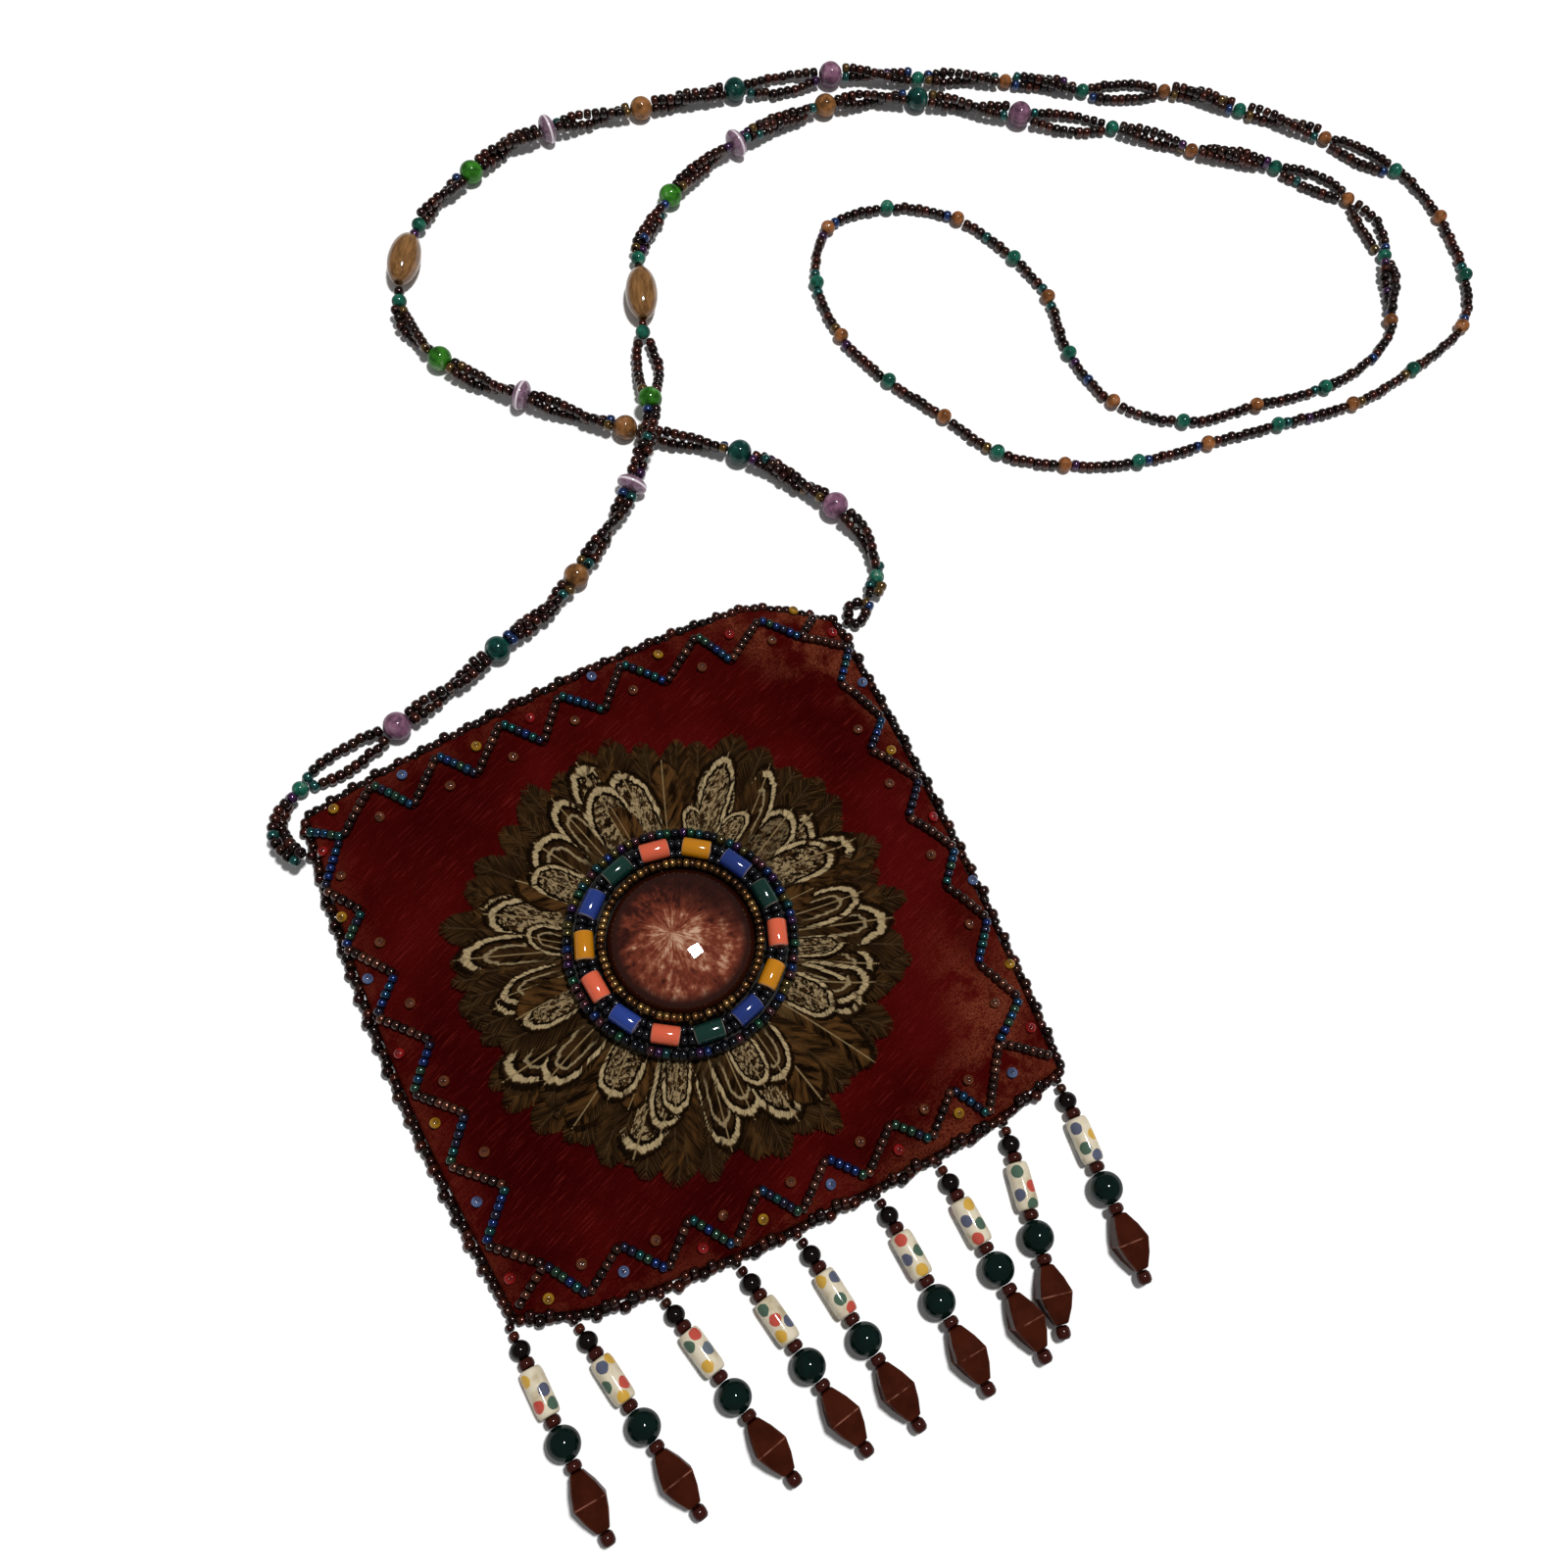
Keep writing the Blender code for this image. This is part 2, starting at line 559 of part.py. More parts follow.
def bezel_outer_row(collection):
    seed = OUTER_ROW_SEED
    profile = []
    for side in range(6):
        angle = math.radians(60 * side)
        profile.append((OUTER_ROW_RADIUS + seed * math.cos(angle), seed + seed * math.sin(angle)))
    finish = material("rainbow_seed_glass", (0.03, 0.05, 0.09), 0.15, metallic=0.6, coat=1.0)
    place = (*ROSETTE_CENTRE, BEZEL_BASE)
    add_turned("bezel_outer_row", profile, 44, collection, finish, closed=True, location=place)


def fringe_stations():
    """Distances from the edge row's middle to the start of each bead on a fringe string."""
    stations = {"top_seed": EDGE_SEED + GAP}
    stations["black"] = stations["top_seed"] + TOP_SEED_LENGTH
    stations["spacer_1"] = stations["black"] + 2 * BLACK_BEAD_RADIUS
    stations["tube"] = stations["spacer_1"] + SPACER_LENGTH + GAP
    stations["spacer_2"] = stations["tube"] + PAINTED_TUBE_LENGTH + GAP
    stations["round"] = stations["spacer_2"] + SPACER_LENGTH + GAP
    stations["spacer_3"] = stations["round"] + 2 * ROUND_BEAD_RADIUS + GAP
    stations["bicone"] = stations["spacer_3"] + SPACER_LENGTH + GAP
    stations["end"] = stations["bicone"] + BICONE_LENGTH + GAP
    return stations


def fringe_line(lean):
    """Where a fringe string lies, as a function of the distance along it from its hinge.

    It runs straight between its spacers, and each large bead rests just over the floor.
    """
    stations = fringe_stations()
    middle = SPACER_LENGTH / 2
    over = FLOOR_CLEARANCE - EDGE_ROW_HEIGHT
    level_round = ROUND_BEAD_RADIUS + over
    bends = [
        (0.0, EDGE_SEED * 0.1),
        (stations["spacer_1"] + middle, PAINTED_TUBE_RADIUS + over + 0.15),
        (stations["spacer_2"] + middle, level_round - 0.45),
        (stations["spacer_3"] + middle, level_round + 0.45),
        (stations["end"] + END_BEAD_RADIUS, BICONE_HALF_WIDTH + over - 0.6),
    ]
    across, along = math.sin(math.radians(lean)), -math.cos(math.radians(lean))

    def point(distance):
        for (start, low), (end, high) in zip(bends, bends[1:]):
            if distance <= end:
                break
        rise = low + (high - low) * (distance - start) / (end - start)
        return Vector((across * distance, along * distance, rise))

    return point


def string_stops():
    """(distance, radius) of the string's own body: its thread, small seeds, spacers and black bead."""
    stations = fringe_stations()
    stops = []

    def bead(start, radius, length, neck=0.6):
        stops.extend([
            (start, radius * neck), (start + length * 0.25, radius * 0.93),
            (start + length * 0.75, radius * 0.93), (start + length, radius * neck),
        ])

    bead(stations["top_seed"], TOP_SEED_RADIUS, TOP_SEED_LENGTH)
    black = stations["black"]
    stops.extend([
        (black + 0.3 * BLACK_BEAD_RADIUS, 0.74 * BLACK_BEAD_RADIUS),
        (black + BLACK_BEAD_RADIUS, BLACK_BEAD_RADIUS),
        (black + 1.7 * BLACK_BEAD_RADIUS, 0.74 * BLACK_BEAD_RADIUS),
    ])
    for name, before in (("spacer_1", False), ("spacer_2", True), ("spacer_3", True)):
        if before:
            stops.append((stations[name] - 0.05, THREAD_RADIUS))
        bead(stations[name], SPACER_RADIUS, SPACER_LENGTH)
        stops.append((stations[name] + SPACER_LENGTH + 0.05, THREAD_RADIUS))
    stops.append((stations["end"] - 0.05, THREAD_RADIUS))
    bead(stations["end"], END_BEAD_RADIUS, 2 * END_BEAD_RADIUS, neck=0.5)
    return stops


def bored_round_profile():
    """Half of a round bead's section, with its bore."""
    edge = math.degrees(math.asin(BORE_RADIUS / ROUND_BEAD_RADIUS))
    angles = [edge - 90 + (180 - 2 * edge) * step / 6 for step in range(7)]
    return [
        (ROUND_BEAD_RADIUS * math.cos(math.radians(angle)), ROUND_BEAD_RADIUS * math.sin(math.radians(angle)))
        for angle in angles
    ]


def bored_tube_profile():
    half = PAINTED_TUBE_LENGTH / 2
    return [
        (BORE_RADIUS, -half), (PAINTED_TUBE_RADIUS * 0.78, -half), (PAINTED_TUBE_RADIUS, -half * 0.72),
        (PAINTED_TUBE_RADIUS, half * 0.72), (PAINTED_TUBE_RADIUS * 0.78, half), (BORE_RADIUS, half),
    ]


def bored_bicone_profile():
    """Corner radii of the four-sided bicone, which is turned in four steps."""
    corner = math.sqrt(2)
    half = BICONE_LENGTH / 2
    bore = BORE_RADIUS * corner
    return [
        (bore, -half), (BICONE_END_HALF_WIDTH * corner, -half), (BICONE_HALF_WIDTH * corner, 0),
        (BICONE_END_HALF_WIDTH * corner, half), (bore, half),
    ]


def fringe_finishes():
    return {
        "string": material("fringe_string_glass", (0.04, 0.015, 0.01), 0.15, coat=1.0),
        "painted_tube": material("painted_ceramic", (0.75, 0.68, 0.52), 0.2, coat=1.0),
        "round_bead": material("bottle_green_glass", (0.003, 0.03, 0.02), 0.08, coat=1.0),
        "bicone": material("red_brown_stone", (0.11, 0.015, 0.01), 0.12, coat=1.0),
    }


def fringe(number, place, lean, collection, finishes):
    """One string of the fringe, hung by its hinge from the row of seeds along the foot."""
    across = pouch_shares(place, -SIDE_HEIGHT)[0]
    hook = edge_row_corner(across, 0.0) if across == 0.0 else edge_row_point((across, 0.0))
    hinge = add_object(f"fringe_{number}_hinge", None, collection, location=hook)
    line = fringe_line(lean)
    stops = string_stops()
    add_tube(
        f"fringe_{number}_string", [line(distance) for distance, _ in stops], SPACER_RADIUS, collection,
        finishes["string"], radii=[radius for _, radius in stops], sides=1, parent=hinge,
    )
    stations = fringe_stations()
    beads = [
        ("painted_tube", stations["tube"], PAINTED_TUBE_LENGTH, bored_tube_profile(), 8, True),
        ("round_bead", stations["round"], 2 * ROUND_BEAD_RADIUS, bored_round_profile(), 8, True),
        ("bicone", stations["bicone"], BICONE_LENGTH, bored_bicone_profile(), 4, False),
    ]
    for name, start, length, profile, steps, smooth in beads:
        first, last = line(start), line(start + length)
        bead = add_turned(
            f"fringe_{number}_{name}", profile, steps, collection, finishes[name],
            closed=True, smooth=smooth, parent=hinge, location=(first + last) / 2,
        )
        yaw = math.atan2(last.y - first.y, last.x - first.x)
        pitch = math.atan2(last.z - first.z, math.hypot(last.x - first.x, last.y - first.y))
        bead.rotation_euler = (0, math.pi / 2 - pitch, yaw)
        if steps == 4:
            turn_flat_side_up(bead)


def turn_flat_side_up(bead):
    """Turns a four-sided bead an eighth about its own axis."""
    eighth = math.pi / 4
    for vertex in bead.data.vertices:
        radius = vertex.co.x
        vertex.co.x, vertex.co.y = radius * math.cos(eighth), radius * math.sin(eighth)


def bead_ball(name, centre, direction, size, collection):
    """A round, disc or oval bead of the strap, turned along the strap, as a solid to join to it."""
    radius, half_length = size if isinstance(size, tuple) else (size, size)
    bm = bmesh.new()
    bmesh.ops.create_uvsphere(bm, u_segments=10, v_segments=6, radius=1)
    bmesh.ops.scale(bm, vec=(radius, radius, half_length), verts=bm.verts)
    turn = direction.to_track_quat("Z", "Y").to_matrix()
    bmesh.ops.rotate(bm, cent=(0, 0, 0), matrix=turn, verts=bm.verts)
    bmesh.ops.translate(bm, verts=bm.verts, vec=centre)
    ball = add_mesh(name, bm, collection, material(name, (0.1, 0.1, 0.1), 0.2))
    ball.display_type = "WIRE"
    return ball


def strap_run(name, stops, radius, spacing, collection, joined, finish):
    """One run of the strap: a plain cord with its large beads fused to it."""
    cord = add_tube(name, smooth_route(stops, spacing), radius, collection, finish)
    large = [index for index, stop in enumerate(stops) if stop[3]]
    if not large:
        return
    bpy.context.view_layer.objects.active = cord
    cord.select_set(True)
    bpy.ops.object.convert(target="MESH")
    cord.select_set(False)
    for index in large:
        direction = Vector(stops[index + 1][:3]) - Vector(stops[index - 1][:3])
        ball = bead_ball(f"{name}_bead_{index}", stops[index][:3], direction, stops[index][3], joined)
        union = cord.modifiers.new("Bead", "BOOLEAN")
        union.operation = "UNION"
        union.solver = "EXACT"
        union.object = ball


def strap(collection, joined):
    finish = material("strap_seed_glass", (0.035, 0.012, 0.008), 0.15, coat=1.0)
    strap_run("strap_left", LEFT_STRAP, DOUBLE_CORD_RADIUS, 19.0, collection, joined, finish)
    strap_run("strap_neck", NECK_STRAP, NECK_CORD_RADIUS, 19.0, collection, joined, finish)
    strap_run("strap_right", RIGHT_STRAP, DOUBLE_CORD_RADIUS, 19.0, collection, joined, finish)
    add_tube("corner_loop", CORNER_LOOP, CORNER_LOOP_RADIUS, collection, finish, cyclic=True)


def build():
    clear_scene()
    parts = new_collection("beaded_crossbody_bag")
    joined = new_collection("joined_beads", hidden=True)
    back_panel(parts)
    front_panel(parts)
    edge_beading(parts)
    zigzag_beading(parts)
    rosette(parts)
    medallion_backing(parts)
    cabochon(parts)
    bezel_inner_rows(parts)
    bezel_tube_row(parts)
    bezel_outer_row(parts)
    finishes = fringe_finishes()
    for number, (place, lean) in enumerate(zip(FRINGE_PLACES, FRINGE_LEANS), 1):
        fringe(number, FOOT_SHIFT + place * FOOT_WIDTH / 2, lean, parts, finishes)
    strap(parts, joined)


build()
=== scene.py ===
"""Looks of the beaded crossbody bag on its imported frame. Lengths are in millimetres and scaled by MM."""

import math

import bpy
import numpy as np
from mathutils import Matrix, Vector


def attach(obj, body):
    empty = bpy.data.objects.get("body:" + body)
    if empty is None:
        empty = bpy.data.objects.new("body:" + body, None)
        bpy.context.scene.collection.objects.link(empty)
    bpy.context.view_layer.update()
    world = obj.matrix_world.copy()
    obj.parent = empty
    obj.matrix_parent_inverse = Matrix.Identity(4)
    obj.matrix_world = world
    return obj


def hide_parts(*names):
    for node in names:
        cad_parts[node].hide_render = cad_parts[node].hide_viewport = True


MM = 0.001
chance = np.random.default_rng(11)
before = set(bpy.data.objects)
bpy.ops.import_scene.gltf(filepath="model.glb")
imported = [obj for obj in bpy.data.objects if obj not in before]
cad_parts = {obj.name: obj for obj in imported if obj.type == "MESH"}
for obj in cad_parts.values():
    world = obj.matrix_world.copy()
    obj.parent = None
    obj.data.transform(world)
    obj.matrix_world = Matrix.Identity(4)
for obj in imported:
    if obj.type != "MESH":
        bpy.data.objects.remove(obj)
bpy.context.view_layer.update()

# Outline of the pouch, as in the part's source
PANEL_THICKNESS = 1.5
SEAM_HEIGHT = 1.8
POCKET_DEPTH = 5.2
MOUTH_SHAPE = [(0, 0), (0.12, 0.2), (0.24, 0.4), (0.45, 0.73), (0.6, 0.92), (0.75, 1.0), (0.87, 0.94), (1, 0)]
FOOT_SHAPE = [(0, 0), (0.11, 0.66), (0.22, 0.9), (0.38, 1.0), (0.6, 0.92), (0.75, 0.76), (0.88, 0.5), (1, 0)]
ROSETTE = (-2.0, -2.4)
BEZEL_BASE = 12.1

# Routes of the strap, as in the part's source: x, y and the height of the middle
LEFT_STRAP = [
    (-73.2, 50.8, 5.7), (-76.0, 56.5, 4.2), (-75.7, 62.0, 2.3), (-72.0, 66.2, 2.1), (-67.0, 69.2, 2.1),
    (-55.5, 72.0, 2.2), (-42.5, 74.5, 3.7), (-28.0, 79.0, 2.4), (-13.5, 84.5, 3.5), (-0.5, 89.5, 2.4),
    (11.5, 96.0, 3.4), (23.5, 105.0, 2.6), (34.0, 114.5, 4.1), (44.4, 127.5, 7.4), (47.4, 135.0, 6.4),
    (51.5, 145.5, 3.0), (54.0, 155.5, 3.4), (58.5, 167.5, 4.5), (62.5, 179.5, 3.2), (69.5, 188.0, 2.2),
    (79.0, 195.5, 3.4), (91.0, 201.5, 2.6), (103.0, 205.0, 4.1), (117.5, 208.5, 2.4), (132.0, 209.0, 3.4),
    (145.0, 207.0, 2.3), (158.0, 202.0, 3.5), (170.5, 195.0, 2.4), (183.5, 186.5, 3.7), (195.5, 180.5, 2.3),
    (208.5, 173.5, 2.1), (226.0, 158.5, 2.1), (246.5, 144.5, 2.1), (261.0, 126.5, 2.1), (260.5, 106.0, 2.1),
    (250.5, 86.5, 2.1),
]
NECK_STRAP = [
    (250.28, 86.07, 2.1), (248.3, 83.2, 1.8), (238.0, 77.5, 1.6), (221.5, 74.5, 1.6), (200.5, 76.5, 1.6),
    (179.0, 79.5, 1.6), (164.0, 92.0, 1.6), (160.0, 110.0, 1.6), (163.0, 128.5, 1.6), (160.0, 143.5, 1.6),
    (151.0, 161.0, 1.6), (134.0, 171.5, 1.6), (115.5, 171.0, 1.6), (105.0, 155.5, 1.6), (104.0, 137.5, 1.6),
    (110.0, 120.0, 1.6), (119.0, 104.5, 1.6), (127.5, 89.5, 1.6), (142.5, 79.5, 1.6), (161.5, 73.0, 1.6),
    (182.0, 71.0, 1.6), (203.0, 69.0, 1.6), (226.0, 67.0, 1.6), (248.0, 70.5, 1.6), (269.0, 77.5, 1.6),
    (279.5, 92.0, 1.6), (283.5, 112.0, 1.6), (281.9, 127.8, 1.9), (280.34, 130.57, 2.1),
]
RIGHT_STRAP = [
    (280.0, 131.0, 2.1), (266.0, 148.5, 2.1), (247.0, 166.5, 2.1), (229.0, 180.5, 2.1), (206.0, 189.0, 2.1),
    (186.0, 200.0, 2.1), (162.0, 209.5, 2.3), (138.0, 218.5, 3.7), (124.0, 221.5, 2.4), (110.0, 223.0, 3.5),
    (96.0, 224.5, 2.4), (82.5, 226.0, 3.4), (68.0, 227.5, 2.6), (55.0, 227.5, 4.1), (42.0, 226.0, 2.6),
    (30.5, 221.5, 3.4), (20.0, 216.5, 2.4), (10.5, 209.0, 3.4), (3.0, 198.5, 4.5), (-2.0, 187.5, 3.2),
    (-2.0, 178.0, 2.3), (2.0, 168.0, 3.4), (9.5, 157.5, 2.6), (18.0, 149.0, 4.1), (28.5, 139.5, 2.6),
    (38.5, 131.5, 3.4), (51.0, 122.5, 2.2), (63.5, 113.5, 3.5), (73.0, 102.0, 2.4), (80.0, 90.0, 3.7),
    (83.5, 79.0, 2.4), (82.5, 70.0, 2.1), (78.5, 63.3, 2.1),
]
CORNER_LOOP = [(77.2, 62.4, 2.1), (73.2, 63.4, 1.9), (70.5, 61.8, 1.7), (70.6, 58.4, 1.7), (73.8, 59.0, 1.9)]

# Where the fringe's strings hang from the edge, as in the part's source
FRINGE_HOOKS = [
    (-66.5, -62.5), (-53.7, -66.7), (-35.1, -69.4), (-17.5, -70.1), (-3.0, -70.0), (16.4, -69.4), (32.1, -68.5),
    (49.7, -66.6), (65.4, -63.1),
]


def make_camera():
    data = bpy.data.cameras.new("camera")
    data.lens = 36.0
    data.sensor_width = 36.0
    data.clip_start = 0.01
    camera = bpy.data.objects.new("camera", data)
    camera.location = (-0.0406035, -0.0802937, 0.3552436)
    camera.rotation_euler = [math.radians(angle) for angle in (20.0, -4.4, -24.2012)]
    bpy.context.scene.collection.objects.link(camera)
    bpy.context.scene.camera = camera


# Shader arithmetic


class Value:
    """A socket of a finish's nodes, with arithmetic."""

    def __init__(self, finish, socket):
        self.finish = finish
        self.socket = socket

    def math(self, operation, *others):
        return self.finish.node("Math", {"operation": operation}, dict(enumerate((self, *others))))

    def __add__(self, other):
        return self.math("ADD", other)

    def __sub__(self, other):
        return self.math("SUBTRACT", other)

    def __mul__(self, other):
        return self.math("MULTIPLY", other)

    def __truediv__(self, other):
        return self.math("DIVIDE", other)

    def __rsub__(self, other):
        return (self * -1.0).math("ADD", other)

    __radd__ = __add__
    __rmul__ = __mul__


class Finish:
    """A procedural material; constants go straight onto its shader's sockets."""

    def __init__(self, name, **constants):
        self.material = bpy.data.materials.new(name)
        self.material.use_nodes = True
        self.tree = self.material.node_tree
        self.shader = self.tree.nodes["Principled BSDF"]
        for key, value in constants.items():
            self.set(key.replace("_", " "), value)

    def feed(self, socket, value):
        if isinstance(value, Value):
            self.tree.links.new(value.socket, socket)
        elif getattr(socket, "type", "") == "RGBA" and len(value) == 3:
            socket.default_value = (*value, 1.0)
        else:
            socket.default_value = value

    def set(self, key, value):
        self.feed(self.shader.inputs[key], value)

    def node(self, kind, settings=None, inputs=None, output=0):
        node = self.tree.nodes.new("ShaderNode" + kind)
        for key, value in (settings or {}).items():
            setattr(node, key, value)
        for key, value in (inputs or {}).items():
            self.feed(node.inputs[key], value)
        return Value(self, node.outputs[output])

    def coords(self, kind="Object"):
        return self.node("TexCoord", output=kind)

    def attribute(self, name, output="Fac"):
        return self.node("Attribute", {"attribute_name": name}, output=output)

    def split(self, vector):
        node = self.tree.nodes.new("ShaderNodeSeparateXYZ")
        self.feed(node.inputs[0], vector)
        return [Value(self, socket) for socket in node.outputs]

    def join(self, x, y, z=0.0):
        return self.node("CombineXYZ", None, {0: x, 1: y, 2: z})

    def noise(self, vector, scale, detail=2.0, roughness=0.5):
        inputs = {"Vector": vector, "Scale": scale, "Detail": detail, "Roughness": roughness}
        return self.node("TexNoise", None, inputs)

    def cells(self, vector, scale):
        return self.node("TexVoronoi", None, {"Vector": vector, "Scale": scale})

    def step(self, value, low, high):
        """0 below low and 1 above high, with a soft change between."""
        inputs = {"Value": value, "From Min": low, "From Max": high}
        return self.node("MapRange", {"interpolation_type": "SMOOTHSTEP"}, inputs)

    def mix(self, share, first, second):
        return self.node("Mix", {"data_type": "RGBA"}, {0: share, 6: first, 7: second}, output=2)

    def times(self, first, second):
        settings = {"data_type": "RGBA", "blend_type": "MULTIPLY"}
        return self.node("Mix", settings, {0: 1.0, 6: first, 7: second}, output=2)

    def bump(self, height, distance, strength=1.0):
        self.set("Normal", self.node("Bump", None, {"Height": height, "Distance": distance, "Strength": strength}))


# Meshes


def add_piece(name, points, faces, finish, body="pouch", smooth=True, point_data=None, colours=None, uv=None):
    """A mesh piece from points in millimetres, with its attributes, riding on a body."""
    mesh = bpy.data.meshes.new(name)
    faces = faces.tolist() if isinstance(faces, np.ndarray) else faces
    mesh.from_pydata((np.asarray(points, float) * MM).tolist(), [], faces)
    mesh.materials.append(finish.material)
    mesh.polygons.foreach_set("use_smooth", [smooth] * len(mesh.polygons))
    for key, values in (point_data or {}).items():
        mesh.attributes.new(key, "FLOAT", "POINT").data.foreach_set("value", np.asarray(values, float).ravel())
    if colours is not None:
        tint = mesh.attributes.new("tint", "FLOAT_COLOR", "POINT")
        tint.data.foreach_set("color", np.column_stack([colours, np.ones(len(colours))]).ravel())
    if uv is not None:
        loops = np.empty(len(mesh.loops), np.int32)
        mesh.loops.foreach_get("vertex_index", loops)
        mesh.uv_layers.new(name="UVMap").data.foreach_set("uv", np.asarray(uv, float)[loops].ravel())
    piece = bpy.data.objects.new(name, mesh)
    bpy.context.scene.collection.objects.link(piece)
    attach(piece, body)
    return piece


def turned(profile, segments, bored=True):
    """A body of revolution about Z; a solid one starts and ends on the axis."""
    rings = profile if bored else profile[1:-1]
    angles = 2 * math.pi * np.arange(segments) / segments
    points = [(r * math.cos(a), r * math.sin(a), z) for r, z in rings for a in angles]
    faces = []
    for ring in range(len(rings) - (0 if bored else 1)):
        above = (ring + 1) % len(rings)
        for k in range(segments):
            j = (k + 1) % segments
            faces.append((ring * segments + k, ring * segments + j, above * segments + j, above * segments + k))
    if not bored:
        low, high = len(points), len(points) + 1
        points += [(0, 0, profile[0][1]), (0, 0, profile[-1][1])]
        last = (len(rings) - 1) * segments
        for k in range(segments):
            j = (k + 1) % segments
            faces += [(low, j, k, k), (last + k, last + j, high, high)]
    return np.array(points), faces


SEED = turned(
    [(0.34, -0.85), (0.68, -1.0), (0.94, -0.6), (1.0, 0.0), (0.94, 0.6), (0.68, 1.0), (0.34, 0.85)], 9
)


def ball(segments=22, rows=12, bore=0.16):
    edge = math.asin(bore)
    angles = [-math.pi / 2 + edge + (math.pi - 2 * edge) * k / rows for k in range(rows + 1)]
    profile = [(math.cos(a), math.sin(a)) for a in angles]
    return turned(profile, segments)


BALL = ball()


class Beads:
    """Beads of one kind, gathered first and made into one piece."""

    def __init__(self, template=SEED):
        self.template = template
        self.items = []

    def add(self, centre, axis, radius, half, tint, sway=0.0):
        axis = np.array(axis, float) + chance.normal(0, sway, 3) if sway else np.array(axis, float)
        self.items.append((centre, axis / np.linalg.norm(axis), radius, half, tint, chance.random()))

    def build(self, name, finish, body="pouch", smooth=True, others=()):
        """Makes the piece; others are (Beads, finish) that join it with a finish of their own."""
        groups = [(self, finish)] + [(beads, kind) for beads, kind in others if beads.items]
        parts = [beads.shapes() for beads, _ in groups]
        start, every = 0, []
        for places, table, _, _ in parts:
            every += [tuple(v + start for v in face) for face in table]
            start += len(places)
        data = {key: np.concatenate([part[2][key] for part in parts]) for key in parts[0][2]}
        colours = np.concatenate([part[3] for part in parts])
        piece = add_piece(name, np.concatenate([part[0] for part in parts]), every, finish, body, smooth, data, colours)
        for _, kind in groups[1:]:
            piece.data.materials.append(kind.material)
        kinds = np.repeat(np.arange(len(parts), dtype=np.int32), [len(part[1]) for part in parts])
        piece.data.polygons.foreach_set("material_index", kinds)
        return piece

    def shapes(self):
        """Points, faces, attributes and tints of every bead."""
        points, faces = self.template
        centres = np.array([item[0] for item in self.items], float)
        axes = np.array([item[1] for item in self.items])
        side = np.cross(axes, np.where(np.abs(axes[:, 2:]) > 0.9, (1.0, 0.0, 0.0), (0.0, 0.0, 1.0)))
        side /= np.linalg.norm(side, axis=1)[:, None]
        up = np.cross(side, axes)
        radius = np.array([item[2] for item in self.items])[:, None, None]
        half = np.array([item[3] for item in self.items])[:, None, None]
        places = (
            centres[:, None, :]
            + radius * (points[None, :, :1] * side[:, None, :] + points[None, :, 1:2] * -up[:, None, :])
            + half * points[None, :, 2:] * axes[:, None, :]
        )
        count, size = len(self.items), len(points)
        table = [tuple(dict.fromkeys(face)) for face in faces]
        every = [tuple(v + bead * size for v in face) for bead in range(count) for face in table]
        colours = np.repeat(np.array([item[4] for item in self.items], float), size, axis=0)
        data = {
            "chance": np.repeat([item[5] for item in self.items], size),
            "along": np.tile(points[:, 2], count),
            "across": np.tile(points[:, 0], count),
            "above": np.tile(-points[:, 1], count),
        }
        return places.reshape(-1, 3), every, data, colours


# Outline of the pouch and the height of its front


def through(stops, share):
    """A smooth curve through (share, value) stops, read at one share."""
    last = len(stops) - 1
    index = next((i for i in range(last - 1) if share < stops[i + 1][0]), last - 1)
    slopes = []
    for at in (index, index + 1):
        before, after = stops[max(at - 1, 0)], stops[min(at + 1, last)]
        slopes.append((after[1] - before[1]) / (after[0] - before[0]))
    (start, low), (end, high) = stops[index], stops[index + 1]
    width = end - start
    t = min(max((share - start) / width, 0.0), 1.0)
    bend = t * t * (3 - 2 * t)
    return low * (1 - bend) + high * bend + width * (slopes[0] * t * (1 - t) ** 2 - slopes[1] * t * t * (1 - t))


def pouch_point(across, up):
    left = (1.0 - 2.7 * up) - (65.7 + 1.8 * up) - 3.6 * math.sin(math.pi * up)
    right = (1.0 - 2.7 * up) + (65.7 + 1.8 * up) + 2.0 * math.sin(math.pi * up)
    foot = -61.0 - 7.4 * through(FOOT_SHAPE, across)
    mouth = 61.0 + 9.0 * through(MOUTH_SHAPE, across)
    return left + (right - left) * across, foot + (mouth - foot) * up


def pouch_shares(x, y):
    across, up = 0.5, 0.5
    for _ in range(6):
        left = (1.0 - 2.7 * up) - (65.7 + 1.8 * up) - 3.6 * math.sin(math.pi * up)
        right = (1.0 - 2.7 * up) + (65.7 + 1.8 * up) + 2.0 * math.sin(math.pi * up)
        across = min(max((x - left) / (right - left), 0.0), 1.0)
        foot = -61.0 - 7.4 * through(FOOT_SHAPE, across)
        mouth = 61.0 + 9.0 * through(MOUTH_SHAPE, across)
        up = min(max((y - foot) / (mouth - foot), 0.0), 1.0)
    return across, up


def pocket_height(across, up):
    return POCKET_DEPTH * (1 - abs(2 * across - 1) ** 4) * (1 - (1 - up) ** 8)


def front_height(x, y):
    return SEAM_HEIGHT + PANEL_THICKNESS + pocket_height(*pouch_shares(x, y))


# The strap


def smooth_route(stops, spacing):
    """Points about a spacing apart on a smooth curve through every stop."""
    stops = np.array(stops, float)
    points = []
    for index in range(len(stops) - 1):
        before, start, end, after = stops[[max(index - 1, 0), index, index + 1, min(index + 2, len(stops) - 1)]]
        count = max(1, round(np.linalg.norm(end - start) / spacing))
        for t in np.arange(count) / count:
            points.append(
                start * (1 + t * t * (2 * t - 3)) + end * t * t * (3 - 2 * t)
                + (end - before) / 2 * t * (1 - t) ** 2 - (after - start) / 2 * t * t * (1 - t)
            )
    points.append(stops[-1])
    return np.array(points)


